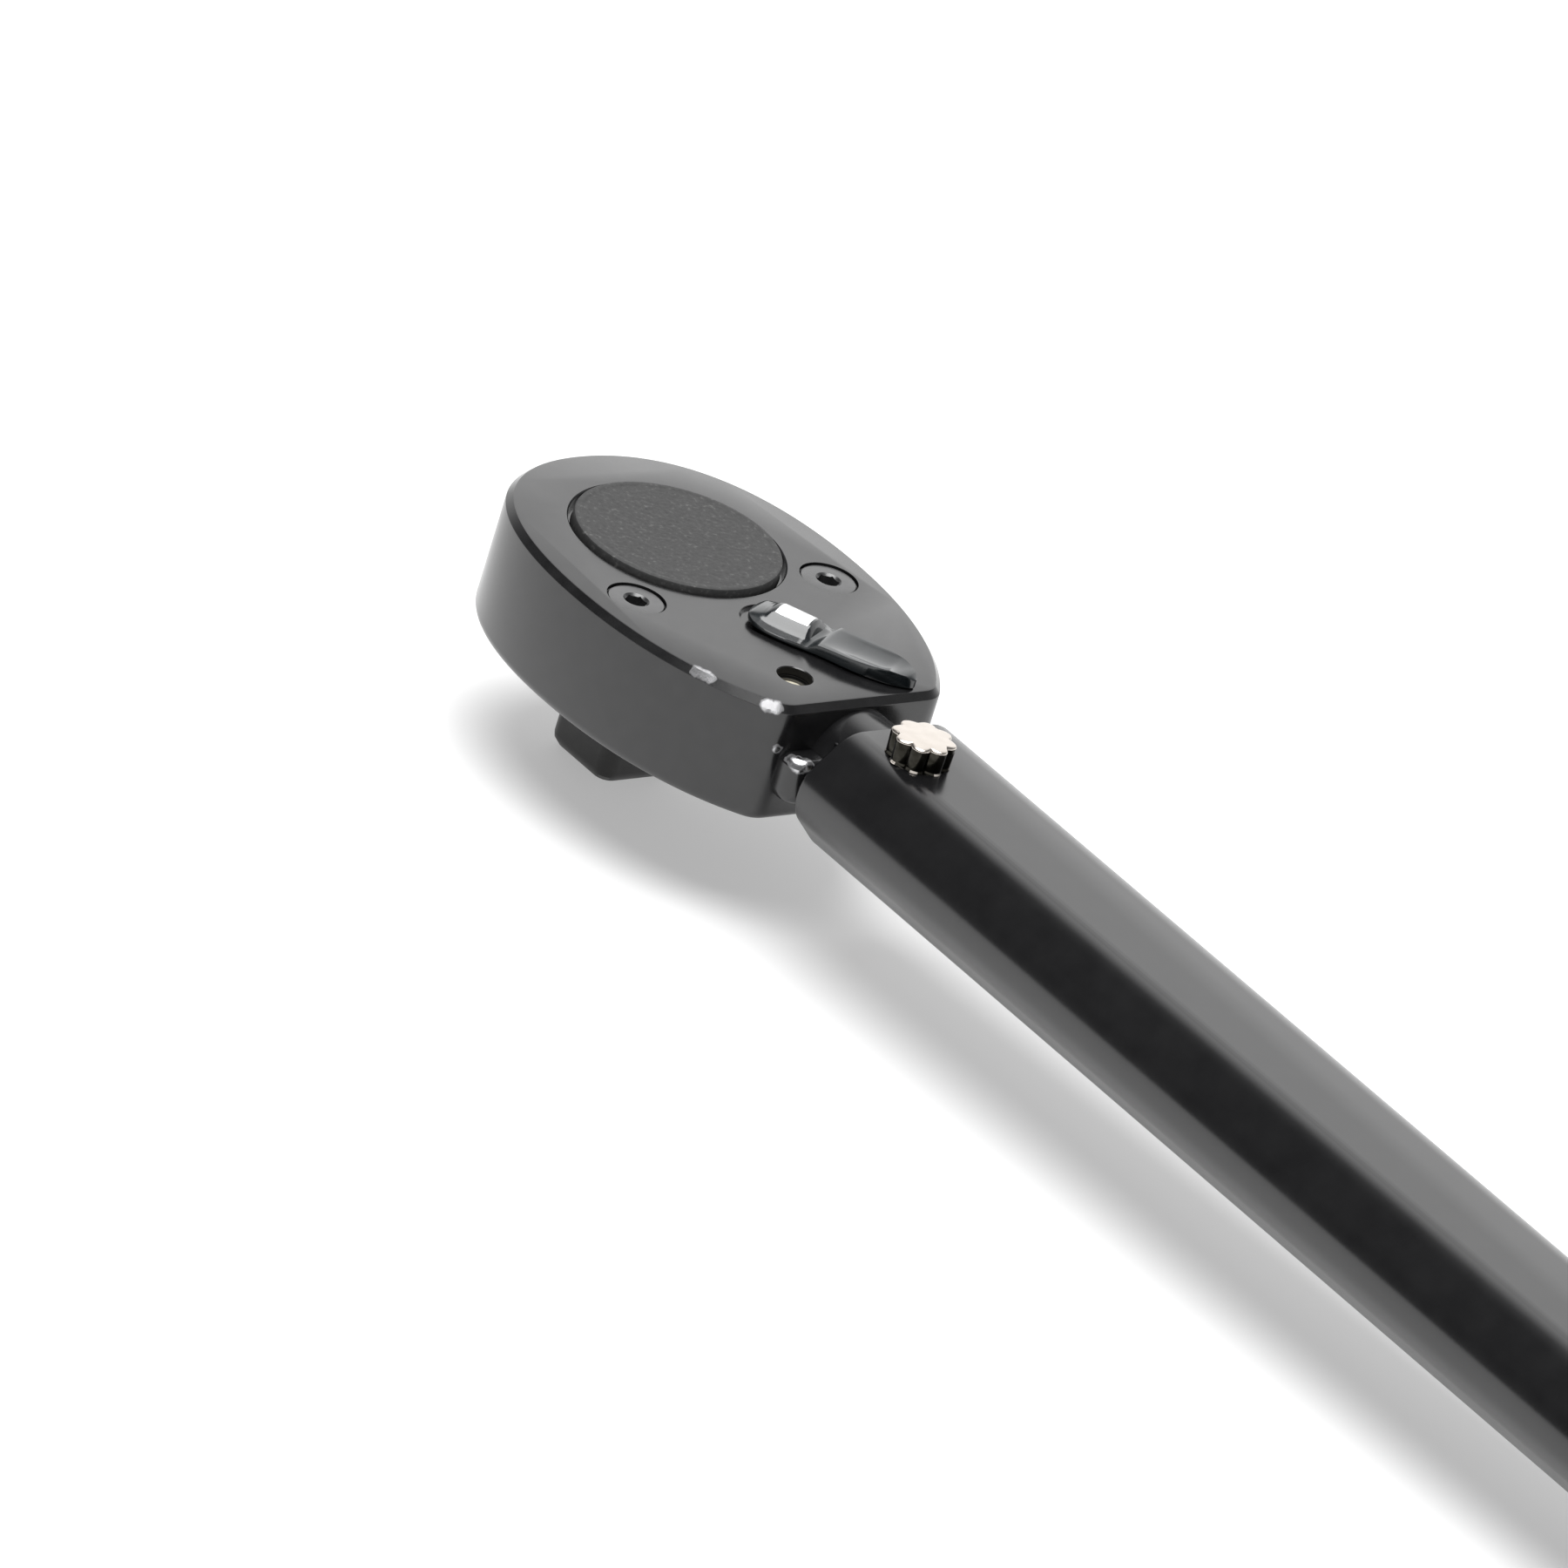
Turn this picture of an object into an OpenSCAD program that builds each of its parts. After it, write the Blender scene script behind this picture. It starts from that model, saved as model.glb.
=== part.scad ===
// Ratcheting breaker bar, half-inch square drive, with a preset overload release.
// Millimetres. Origin on the drive axis at the square's shoulder, +X to the handle, +Z away from the socket.

/* [Square drive] */
// Size across the flats of the drive square
drive_af = 12.7; // [12.7]
// Length of the drive square
drive_len = 15; // [14:0.5:17]
// Diameter over the rounded corners of the square
drive_corner_d = 16.4; // [16:0.1:17]
// Diameter of the socket detent ball
ball_d = 4; // [3.6:0.2:4.4]
// How far the ball stands out of its flat
ball_proud = 0.6; // [0.4:0.1:0.8]

/* [Head] */
// Thickness of the head
head_t = 17.2; // [16.8:0.1:17.6]
// Distance from the drive axis to the nose of the head
head_nose = 23.1; // [22.8:0.1:24]
// Greatest half width of the head
head_half_w = 24.2; // [24:0.1:25]
// Distance from the drive axis to the flat rear end of the head
head_rear = 41.8; // [41:0.1:43]
// Half width of the flat rear end of the head
head_rear_half_w = 12.8; // [12:0.1:13]
// Diameter of the round neck between the head and the tube
neck_d = 14.4; // [13.6:0.1:14.8]

/* [Ratchet] */
// Number of teeth on the drive wheel, a multiple of twelve
teeth = 36; // [36]
// Diameter over the tooth tips
wheel_tip_d = 31.6; // [31.4:0.1:31.8]
// Depth of a tooth
tooth_h = 1.2; // [1.1:0.1:1.3]
// Diameter of the textured cap on the wheel
cap_d = 28.4; // [28:0.1:28.5]
// Height of the cap above the head
cap_proud = 0.8; // [0.5:0.1:1.2]
// How far a pawl swings out of the teeth, in degrees
pawl_lift = 7; // [7]

/* [Reversing lever] */
// Distance from the drive axis to the lever's pivot
lever_x = 21.5; // [21.3:0.1:21.7]
// Angle of the lever from the centre line at either end of its throw
lever_angle = 26; // [26]
// Length of the lever from its pivot to its tip
lever_len = 21; // [19:0.1:21.4]
// Greatest width of the lever's thumb blade
lever_w = 7.4; // [6.6:0.1:8]
// Width of the lever over its pivot
lever_hub_w = 9.4; // [8.6:0.1:9.8]

/* [Tube and grip] */
// Width of the tube over its side flats
tube_w = 27.85; // [27.4:0.05:28.2]
// Width of the tube's top and bottom flats
tube_flat = 15.65; // [15:0.05:16]
// Wall thickness of the tube
tube_wall = 1.8; // [1.7:0.1:2]
// Where the tube starts
tube_x0 = 48.2; // [48:0.1:49]
// Where the tube ends
tube_x1 = 452; // [452:1:460]
// Length of the rubber grip
grip_len = 124; // [110:1:130]
// Thickness of the grip on the tube
grip_t = 2.6; // [2.2:0.1:3]

/* [Release mechanism] */
// Where the head pivots in the tube, along the tube
pivot_x = 56.5; // [56.5]
// Where the head pivots in the tube, across the tube
pivot_y = -2.7; // [-2.7]
// Diameter of the pivot pin
pivot_d = 8; // [7.6:0.1:8]
// Diameter of the fluted head of the pivot pin
pivot_head_d = 8.8; // [8.6:0.1:9.4]
// Height of the fluted head of the pivot pin
pivot_head_h = 3.8; // [3.4:0.1:4.2]
// Wire diameter of the main spring
spring_wire = 2.6; // [2.4:0.1:2.6]
// Number of turns of the main spring
spring_turns = 26; // [20:1:28]
// Diameter of the adjusting screw
screw_d = 8; // [8]

/* [Hidden] */
$fn = 64;

// Running clearance between a shaft and its bore, and the gap that keeps loose parts apart
running = 0.05;
gap = 0.3;
eps = 0.02;

// Heights: the head and the tube share their top and bottom planes
head_z0 = 0.9;
head_z1 = head_z0 + head_t;
mid_z = head_z0 + head_t / 2;
cover_t = 2.5;
cavity_z0 = head_z0 + cover_t;
cavity_z1 = 12.4;
pawl_z0 = cavity_z0 + 0.6;
pawl_z1 = cavity_z1 - 0.4;

// Bottom cover: the head's outline drawn in a little and cut square behind, with three screws
cover_scale = 0.93;
cover_centre = 9;
cover_rear = 33;
cover_screw_reach = 18.3;
cover_screw_at = concat([for (a = [135, 225]) cover_screw_reach * [cos(a), sin(a)]], [[29.8, 0]]);
cover_screw_r = 1.25;
cover_screw_head_r = 2.1;
cover_screw_head_h = 1.2;
cover_screw_len = 7;
cover_hex_r = 0.9;

// Ledge low on the rear of the head, close in front of the tube's mouth
ledge_x1 = 45.4;
ledge_half_w = 11.8;
ledge_z0 = 5;
ledge_z1 = 11.5;

// Drive wheel
tip_r = wheel_tip_d / 2;
root_r = tip_r - tooth_h;
pitch = 360 / teeth;
tip_land = 1;
root_land = 1.2;
cavity_r = tip_r + gap;
top_journal_r = 14.25;
low_journal_r = 12.9;
collar_r = 10.5;
cap_recess_r = cap_d / 2 + 0.6;
cap_recess_z = head_z1 - 1.2;
cap_spigot_r = 6;
cap_spigot_len = 2;

// Detent ball in the square's nose side
ball_r = ball_d / 2;
ball_z = -drive_len / 2;
ball_x = ball_r - drive_af / 2 - ball_proud;
ball_bore_x1 = 1.5;

// Pawls
pawl_pivot = [12.5, 16.4];
pawl_shank_r = 2;
pawl_hub_r = 3.4;
pawl_seat = 15;
pawl_screw_head_r = 4;
hex_r = 1.6;

// Lever, its shaft and cam
shaft_r = 2.6;
stub_r = 1.5;
lever_z0 = head_z1 + 0.25;
lever_t = 1.7;
lever_hump_t = 0.9;
lever_recess_r = 4.6;
lever_recess_depth = 0.5;
cam_r = 2.4;
lobe_offset = 2;
lobe_r = 1.8;
lobe_angle = 60;
lever_ball_r = 1.4;
lever_ball_z = 14.9;
lever_ball_x = lever_x + shaft_r + lever_ball_r - 0.35;
lever_spring_x1 = 31;

// Spring posts, under the lever's tip at either end of its throw
post_reach = 14.2;
post_r = 2.1;
post_mouth_r = 2.5;
post_depth = 1.6;
post = [lever_x + post_reach * cos(lever_angle), post_reach * sin(lever_angle)];
pawl_spring_z = 8;
pawl_spring_r = 1.9;
pawl_spring_x0 = 23.4;

// Tube section
tube_h = head_t;
tube_leg = (tube_w - tube_flat) / 2;
grip_x0 = tube_x1 - grip_len;
ring_len = 4;

// Release mechanism along the tube
pivot_r = pivot_d / 2;
bush_r = pivot_r + 1.2;
eye_r = 6.3;
tang_half_h = 4.5;
tang_half_w = 6;
tang_x1 = 98;
neck_x1 = 47.6;
spacer_t = 2;
toggle_x0 = 99;
toggle_len = 8;
toggle_round_r = 5;
toggle_x1 = toggle_x0 + toggle_len;
plunger_x0 = toggle_x1 + gap;
plunger_r = 5.2;
plunger_x1 = plunger_x0 + 24;
guide_x0 = plunger_x0 + 3;
guide_x1 = plunger_x1 - 2;
spigot_r = 3.1;
spring_r = 4.7;
seat_x0 = 296;
seat_t = 4;
seat_r = 6.2;
nut_x0 = seat_x0 + seat_t;
nut_len = 16;
screw_r = screw_d / 2;
screw_x0 = nut_x0 + 2;
screw_x1 = 441;
collar_x0 = 414;
collar_x1 = 418;
bushing_x0 = collar_x1 + 0.2;
bushing_x1 = 432;
lock_nut_len = 6;
bushing_pin_x = 425;
bushing_pin_r = 1.5;
cap_plug_x0 = 443;
end_cap_t = 7;

black_steel = [0.17, 0.17, 0.18];
bare_steel = [0.62, 0.62, 0.64];
nickel = [0.85, 0.79, 0.70];
brass_tone = [0.78, 0.66, 0.40];
rubber_black = [0.08, 0.08, 0.08];

// ---- shared shapes ----

// Point at t on a cubic curve
function curve(p, t) =
    pow(1 - t, 3) * p[0] + 3 * pow(1 - t, 2) * t * p[1] + 3 * (1 - t) * t * t * p[2] + pow(t, 3) * p[3];

function curve_points(p, steps) = [for (i = [0 : steps - 1]) curve(p, i / steps)];

function mirrored(points) = [for (i = [len(points) - 1 : -1 : 1]) [points[i].x, -points[i].y]];

// Plan outline of the head: a round nose, a slow swell and shoulders that close to the flat rear end
nose_curve = [[-head_nose, 0], [-head_nose, 15.5], [-11, head_half_w], [9, head_half_w]];
shoulder_curve = [[9, head_half_w], [24, head_half_w], [35.5, 19.4], [head_rear, head_rear_half_w]];
head_half = concat(
    curve_points(nose_curve, 12), curve_points(shoulder_curve, 12), [[head_rear, head_rear_half_w]]);
head_outline = concat(head_half, mirrored(head_half));

// Octagonal tube section, grown by g on every face, in the plane across the tube
function octagon(g) =
    let (w = tube_w / 2 + g, h = tube_h / 2 + g, c = tube_leg + g * (2 - sqrt(2)))
    [[w, h - c], [w - c, h], [c - w, h], [-w, h - c], [-w, c - h], [c - w, -h], [w - c, -h], [w, c - h]];

// A bar of the tube's section from x0 to x1
module tube_bar(g, x0, x1)
    translate([x0, 0, mid_z]) rotate([90, 0, 90]) linear_extrude(x1 - x0) polygon(octagon(g));

// A round bar along X
module x_bar(r, x0, x1, y = 0, z = mid_z)
    translate([x0, y, z]) rotate([0, 90, 0]) cylinder(r = r, h = x1 - x0);

// A round bar along Z
module z_bar(r, z0, z1, x = 0, y = 0)
    translate([x, y, z0]) cylinder(r = r, h = z1 - z0);

// A hexagon socket cut down from z1
module hex_socket(r, depth, x, y, z1)
    translate([x, y, z1 - depth]) cylinder(r = r, h = depth + eps, $fn = 6);

// A compression spring along +Z from z = 0
module coil(r, wire, length, turns, per_turn = 12, sides = 6) {
    n = turns * per_turn;
    w = wire / 2;
    points = [for (i = [0 : n]) for (j = [0 : sides - 1])
        let (a = 360 * i / per_turn, b = 360 * j / sides, rr = r + w * cos(b))
        [rr * cos(a), rr * sin(a), w + (length - wire) * i / n + w * sin(b)]];
    skin = [for (i = [0 : n - 1]) for (j = [0 : sides - 1])
        let (k = (j + 1) % sides)
        [i * sides + j, (i + 1) * sides + j, (i + 1) * sides + k, i * sides + k]];
    start = [for (j = [0 : sides - 1]) j];
    finish = [for (j = [sides - 1 : -1 : 0]) n * sides + j];
    polyhedron(points, concat([start], skin, [finish]));
}

// A compression spring along +X
module x_coil(r, wire, x0, x1, turns, y = 0, z = mid_z)
    translate([x0, y, z]) rotate([0, 90, 0]) coil(r, wire, x1 - x0, turns);

// Both sides of the centre plane
module both_sides() {
    children();
    mirror([0, 1, 0]) children();
}

// ---- head ----

module pawl_chamber()
    polygon([[8, 20.3], [15.5, 20.3], [27, 12.5], [27, -12.5], [15.5, -20.3], [8, -20.3]]);

// Plan of the bottom cover, cut square at its rear end
module cover_plan() {
    intersection() {
        translate([cover_centre, 0]) scale(cover_scale) translate([-cover_centre, 0]) polygon(head_outline);
        translate([-head_nose, -head_half_w]) square([head_nose + cover_rear, 2 * head_half_w]);
    }
}

module head_housing() {
    color(black_steel) difference() {
        union() {
            translate([0, 0, head_z0]) linear_extrude(head_t) polygon(head_outline);
            x_bar(neck_d / 2, head_rear - 4, neck_x1);
            translate([head_rear - 4, -tang_half_w, mid_z - tang_half_h])
                cube([tang_x1 - head_rear + 4, 2 * tang_half_w, 2 * tang_half_h]);
            translate([head_rear - 1, -ledge_half_w, ledge_z0])
                cube([ledge_x1 - head_rear + 1, 2 * ledge_half_w, ledge_z1 - ledge_z0]);
            z_bar(eye_r, mid_z - tang_half_h, mid_z + tang_half_h, pivot_x, pivot_y);
        }
        // cover recess, wheel and pawl cavity
        translate([0, 0, head_z0 - eps]) linear_extrude(cover_t + eps) cover_plan();
        z_bar(cavity_r, head_z0, cavity_z1);
        translate([0, 0, head_z0]) linear_extrude(cavity_z1 - head_z0) pawl_chamber();
        z_bar(top_journal_r + running, cavity_z1 - eps, head_z1 + eps);
        z_bar(cap_recess_r, cap_recess_z, head_z1 + eps);
        // pawl screws
        both_sides() translate([pawl_pivot.x, pawl_pivot.y, 0]) {
            z_bar(pawl_shank_r, cavity_z1 - eps, head_z1);
            translate([0, 0, head_z1 - 2])
                cylinder(r1 = pawl_shank_r, r2 = pawl_screw_head_r, h = 2 + eps);
        }
        // lever shaft and its detent drilling
        z_bar(shaft_r + running, cavity_z1 - eps, head_z1 + eps, lever_x);
        z_bar(lever_recess_r, head_z1 - lever_recess_depth, head_z1 + eps, lever_x);
        x_bar(lever_ball_r + running, top_journal_r - 1, lever_spring_x1, 0, lever_ball_z);
        // pawl springs and their posts
        both_sides() {
            x_bar(pawl_spring_r + gap, 24, post.x, post.y, pawl_spring_z);
            z_bar(post_r, cavity_z0 + 1, head_z1, post.x, post.y);
            z_bar(post_mouth_r, head_z1 - post_depth, head_z1 + eps, post.x, post.y);
        }
        // cover screws and the pivot bushing
        for (p = cover_screw_at) z_bar(cover_screw_r, head_z0, head_z0 + cover_screw_len, p.x, p.y);
        z_bar(bush_r, 0, head_z1, pivot_x, pivot_y);
    }
}

module bottom_cover() {
    color(black_steel) difference() {
        translate([0, 0, head_z0]) linear_extrude(cover_t) cover_plan();
        z_bar(low_journal_r + running, 0, cavity_z0 + 1);
        both_sides() z_bar(pawl_shank_r, 0, cavity_z0 + 1, pawl_pivot.x, pawl_pivot.y);
        for (p = cover_screw_at) {
            z_bar(cover_screw_r, 0, cavity_z0 + 1, p.x, p.y);
            translate([p.x, p.y, head_z0 - eps])
                cylinder(r1 = cover_screw_head_r, r2 = cover_screw_r, h = cover_screw_head_h);
        }
    }
}

module cover_screws() {
    color(black_steel) for (p = cover_screw_at) difference() {
        union() {
            z_bar(cover_screw_r, head_z0, head_z0 + cover_screw_len, p.x, p.y);
            translate([p.x, p.y, head_z0])
                cylinder(r1 = cover_screw_head_r - eps, r2 = cover_screw_r, h = cover_screw_head_h - eps);
        }
        translate([p.x, p.y, head_z0 - eps]) cylinder(r = cover_hex_r, h = 1, $fn = 6);
    }
}

module pawl_screws() {
    color(black_steel) both_sides() difference() {
        union() {
            z_bar(pawl_shank_r, head_z0, head_z1 - 0.2, pawl_pivot.x, pawl_pivot.y);
            intersection() {
                translate([pawl_pivot.x, pawl_pivot.y, head_z1 - 2])
                    cylinder(r1 = pawl_shank_r, r2 = pawl_screw_head_r, h = 2 + eps);
                z_bar(pawl_screw_head_r, head_z0, head_z1 - 0.2, pawl_pivot.x, pawl_pivot.y);
            }
        }
        hex_socket(hex_r, 1.6, pawl_pivot.x, pawl_pivot.y, head_z1 - 0.2);
    }
}

module spring_posts() {
    color(brass_tone) both_sides() z_bar(post_r, cavity_z0 + 1, head_z1 - post_depth, post.x, post.y);
}

module pivot_bushing() {
    color(brass_tone) difference() {
        z_bar(bush_r, mid_z - tang_half_h, mid_z + tang_half_h, pivot_x, pivot_y);
        z_bar(pivot_r + running, 0, head_z1, pivot_x, pivot_y);
    }
}

module lever_ball_spring() {
    color(bare_steel) x_coil(0.9, 0.4, lever_ball_x + lever_ball_r + eps, lever_spring_x1 - eps, 5, 0, lever_ball_z);
}

// side is 1 on the left of the centre line, seen from above with the handle away, and -1 on the right
module pawl_spring(side, x0) {
    color(bare_steel)
        x_coil(1.4, 0.7, x0, post.x - post_r - 0.1, 5, side * post.y, pawl_spring_z);
}

module pawl_spring_left() { pawl_spring(1, pawl_spring_x0); }

module pawl_spring_right() { pawl_spring(-1, pawl_spring_x0 - 1); }

// ---- ratchet ----

// One tooth gap, cut from outside the wheel
module tooth_gap() {
    root_half = root_r * sin(root_land);
    tip_half = tip_r * sin(pitch / 2 - tip_land);
    slope = (tip_half - root_half) / tooth_h;
    out = 1;
    polygon([[root_r, -root_half], [root_r, root_half],
        [tip_r + out, tip_half + out * slope], [tip_r + out, -tip_half - out * slope]]);
}

module drive_wheel() {
    color(bare_steel) difference() {
        union() {
            z_bar(tip_r, cavity_z0 + 0.4, cavity_z1 - 0.2);
            z_bar(top_journal_r, cavity_z1 - 0.4, cap_recess_z);
            z_bar(low_journal_r, head_z0, cavity_z0 + 1);
            z_bar(collar_r, 0, head_z0 + 1);
            intersection() {
                translate([-drive_af / 2, -drive_af / 2, -drive_len]) cube([drive_af, drive_af, drive_len + 1]);
                z_bar(drive_corner_d / 2, -drive_len, 1);
                translate([0, 0, -drive_len])
                    cylinder(r1 = drive_af / 2, r2 = drive_af / 2 + drive_len + 1, h = drive_len + 1);
            }
        }
        translate([0, 0, cavity_z0]) linear_extrude(cavity_z1 - cavity_z0)
            for (i = [0 : teeth - 1]) rotate(pitch * (i + 0.5)) tooth_gap();
        x_bar(ball_r + running, -drive_af, ball_bore_x1, 0, ball_z);
        z_bar(cap_spigot_r, cap_recess_z - cap_spigot_len, cap_recess_z + eps);
    }
}

module drive_cap() {
    color(black_steel) union() {
        z_bar(cap_d / 2, cap_recess_z, head_z1 + cap_proud);
        z_bar(cap_spigot_r, cap_recess_z - cap_spigot_len, cap_recess_z + eps);
    }
}

module detent_ball() {
    color(bare_steel) translate([ball_x, 0, ball_z]) sphere(r = ball_r);
}

module detent_spring() {
    color(bare_steel) x_coil(1.3, 0.6, ball_x + ball_r + eps, ball_bore_x1 - eps, 4, 0, ball_z);
}

// A pawl in mesh on the left side: its nose in a tooth gap, its tail beside the cam
module engaged_pawl() {
    u = [cos(pawl_seat), sin(pawl_seat)];
    t = [-u.y, u.x];
    nose_r = root_r + 0.25;
    back_r = tip_r + 0.45;
    difference() {
        union() {
            translate([0, 0, pawl_z0]) linear_extrude(pawl_z1 - pawl_z0) polygon([
                back_r * u - 1.1 * t, nose_r * u - 0.2 * t, nose_r * u + 0.2 * t, back_r * u + 1.1 * t,
                [15, 8.2], [13.2, 11], [10.6, 15.5], [14.4, 18], [17.8, 14], [20.6, 8],
                [21.5, 4.6], [20.6, 3.07], [16.7, 3.55]]);
            z_bar(pawl_hub_r, pawl_z0, pawl_z1, pawl_pivot.x, pawl_pivot.y);
        }
        z_bar(pawl_shank_r + running, 0, head_z1, pawl_pivot.x, pawl_pivot.y);
    }
}

module pawl_left() {
    color(bare_steel) translate([pawl_pivot.x, pawl_pivot.y, 0]) rotate(pawl_lift)
        translate([-pawl_pivot.x, -pawl_pivot.y, 0]) engaged_pawl();
}

module pawl_right() {
    color(bare_steel) mirror([0, 1, 0]) engaged_pawl();
}

// ---- reversing lever ----

// Plan of the lever: a broad hub over the pivot, a waist, and a thumb blade that runs to a point
lever_front = -3.4;
hub_half = lever_hub_w / 2;
lever_half = concat(
    curve_points([[lever_front, 0], [lever_front, 3], [-1.5, hub_half], [1.5, hub_half]], 8),
    curve_points([[1.5, hub_half], [6, hub_half], [6, lever_w / 2], [12, lever_w / 2]], 8),
    curve_points([[12, lever_w / 2], [16, lever_w / 2], [lever_len, 1.6], [lever_len, 0]], 8),
    [[lever_len, 0]]);

module lever_plan() polygon(concat(lever_half, mirrored([for (p = lever_half) if (p.x < lever_len) p])));

module reversing_lever() {
    color(black_steel) difference() {
        union() {
            translate([lever_x, 0, 0]) rotate(lever_angle) {
                translate([0, 0, lever_z0]) linear_extrude(lever_t) lever_plan();
                translate([0, -2.2, lever_z0 + lever_t - eps]) cube([6, 4.4, lever_hump_t + eps]);
            }
            z_bar(shaft_r, cavity_z1, lever_z0 + 1, lever_x);
            z_bar(stub_r, pawl_z0, cavity_z1 + 1, lever_x);
        }
        translate([lever_x, 0, lever_ball_z]) rotate_extrude()
            translate([lever_ball_x - lever_x, 0]) circle(r = lever_ball_r + 0.2);
    }
}

module lever_cam() {
    color(bare_steel) difference() {
        translate([lever_x, 0, pawl_z0]) rotate(lever_angle) linear_extrude(pawl_z1 - pawl_z0) union() {
            circle(r = cam_r);
            for (a = [-lobe_angle, lobe_angle]) rotate(a) translate([lobe_offset, 0]) circle(r = lobe_r);
        }
        z_bar(stub_r, 0, head_z1, lever_x);
    }
}

module lever_ball() {
    color(bare_steel) translate([lever_ball_x, 0, lever_ball_z]) sphere(r = lever_ball_r);
}

// ---- tube and grip ----

module body_tube() {
    color(black_steel) difference() {
        tube_bar(0, tube_x0, tube_x1);
        tube_bar(-tube_wall, tube_x0 - 1, tube_x1 + 1);
        z_bar(pivot_r, 0, head_z1 + 1, pivot_x, pivot_y);
        both_sides() translate([bushing_pin_x, 0, mid_z]) rotate([-90, 0, 0])
            cylinder(r = bushing_pin_r, h = tube_w);
    }
}

module grip_sleeve() {
    ribs = 13;
    rib_pitch = 8;
    color(rubber_black) difference() {
        union() {
            tube_bar(grip_t - 0.7, grip_x0, tube_x1);
            tube_bar(grip_t, grip_x0, grip_x0 + 8);
            tube_bar(grip_t, tube_x1 - 8, tube_x1);
            for (i = [1 : ribs]) tube_bar(grip_t, grip_x0 + rib_pitch * i + 4, grip_x0 + rib_pitch * i + 8);
        }
        tube_bar(0, grip_x0 - 1, tube_x1 + 1);
    }
}

module grip_ring() {
    color(nickel) difference() {
        tube_bar(grip_t - 0.6, grip_x0 - ring_len, grip_x0);
        tube_bar(0, grip_x0 - ring_len - 1, grip_x0 + 1);
    }
}

module end_cap() {
    color(rubber_black) union() {
        tube_bar(grip_t, tube_x1, tube_x1 + end_cap_t);
        tube_bar(-tube_wall, cap_plug_x0, tube_x1 + 1);
    }
}

module end_bushing() {
    color(bare_steel) difference() {
        tube_bar(-tube_wall, bushing_x0, bushing_x1);
        x_bar(screw_r + running, bushing_x0 - 1, bushing_x1 + 1);
        both_sides() translate([bushing_pin_x, 6, mid_z]) rotate([-90, 0, 0])
            cylinder(r = bushing_pin_r, h = tube_w);
    }
}

module bushing_pins() {
    color(bare_steel) both_sides() translate([bushing_pin_x, 6, mid_z]) rotate([-90, 0, 0])
        cylinder(r = bushing_pin_r, h = tube_w / 2 - 6);
}

// ---- release mechanism ----

module pivot_pin() {
    flutes = 8;
    flute_r = 0.95;
    crown_h = 0.9;
    crown_r = pivot_head_d / 2 - 1.6;
    crown_z = head_z1 + pivot_head_h - crown_h;
    color(nickel) difference() {
        union() {
            z_bar(pivot_r, head_z0 + 0.2, head_z1, pivot_x, pivot_y);
            z_bar(pivot_head_d / 2, head_z1, crown_z, pivot_x, pivot_y);
            translate([pivot_x, pivot_y, crown_z]) cylinder(h = crown_h, r1 = pivot_head_d / 2, r2 = crown_r);
        }
        for (i = [0 : flutes - 1]) translate([pivot_x, pivot_y, 0]) rotate(360 * (i + 0.5) / flutes)
            z_bar(flute_r, head_z1 + eps, head_z1 + 2 * pivot_head_h, pivot_head_d / 2 + 0.2);
    }
}

// A washer round the pivot pin, trimmed to the inside of the tube
module pivot_washer(r, z)
    difference() {
        intersection() {
            z_bar(r, z, z + spacer_t, pivot_x, pivot_y);
            tube_bar(-tube_wall, tube_x0, guide_x0);
        }
        z_bar(pivot_r, z - 1, z + spacer_t + 1, pivot_x, pivot_y);
    }

module pivot_nut() {
    color(bare_steel) pivot_washer(pivot_r + 3, head_z0 + tube_wall);
}

module pivot_spacer() {
    color(brass_tone) pivot_washer(pivot_r + 2, head_z1 - tube_wall - spacer_t);
}

module toggle_block() {
    half = toggle_len / 2;
    color(bare_steel) intersection() {
        translate([toggle_x0, -half, mid_z - half]) cube(toggle_len);
        z_bar(toggle_round_r, 0, head_z1, toggle_x0 + half);
    }
}

module plunger() {
    color(bare_steel) union() {
        x_bar(plunger_r, plunger_x0, plunger_x1);
        x_bar(spigot_r, plunger_x1 - eps, plunger_x1 + 5);
    }
}

module plunger_guide() {
    color(bare_steel) difference() {
        tube_bar(-tube_wall, guide_x0, guide_x1);
        x_bar(plunger_r + running, guide_x0 - 1, guide_x1 + 1);
    }
}

module main_spring() {
    color(bare_steel) x_coil(spring_r, spring_wire, plunger_x1 + eps, seat_x0 - eps, spring_turns);
}

module spring_seat() {
    color(bare_steel) union() {
        x_bar(seat_r, seat_x0, seat_x0 + seat_t);
        x_bar(spigot_r, seat_x0 - 5, seat_x0 + eps);
    }
}

module adjusting_nut() {
    color(bare_steel) difference() {
        tube_bar(-tube_wall - gap, nut_x0, nut_x0 + nut_len);
        x_bar(screw_r + running, nut_x0 - 1, nut_x0 + nut_len + 1);
    }
}

module adjusting_screw() {
    color(bare_steel) difference() {
        union() {
            x_bar(screw_r, screw_x0, screw_x1);
            x_bar(seat_r, collar_x0, collar_x1);
        }
        translate([screw_x1 - 5, 0, mid_z]) rotate([0, 90, 0]) cylinder(r = 2.3, h = 6, $fn = 6);
    }
}

module lock_nut() {
    color(bare_steel) difference() {
        translate([bushing_x1 + 0.2, 0, mid_z]) rotate([0, 90, 0])
            cylinder(r = 6.6, h = lock_nut_len, $fn = 6);
        x_bar(screw_r, bushing_x1, bushing_x1 + lock_nut_len + 1);
    }
}

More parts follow.
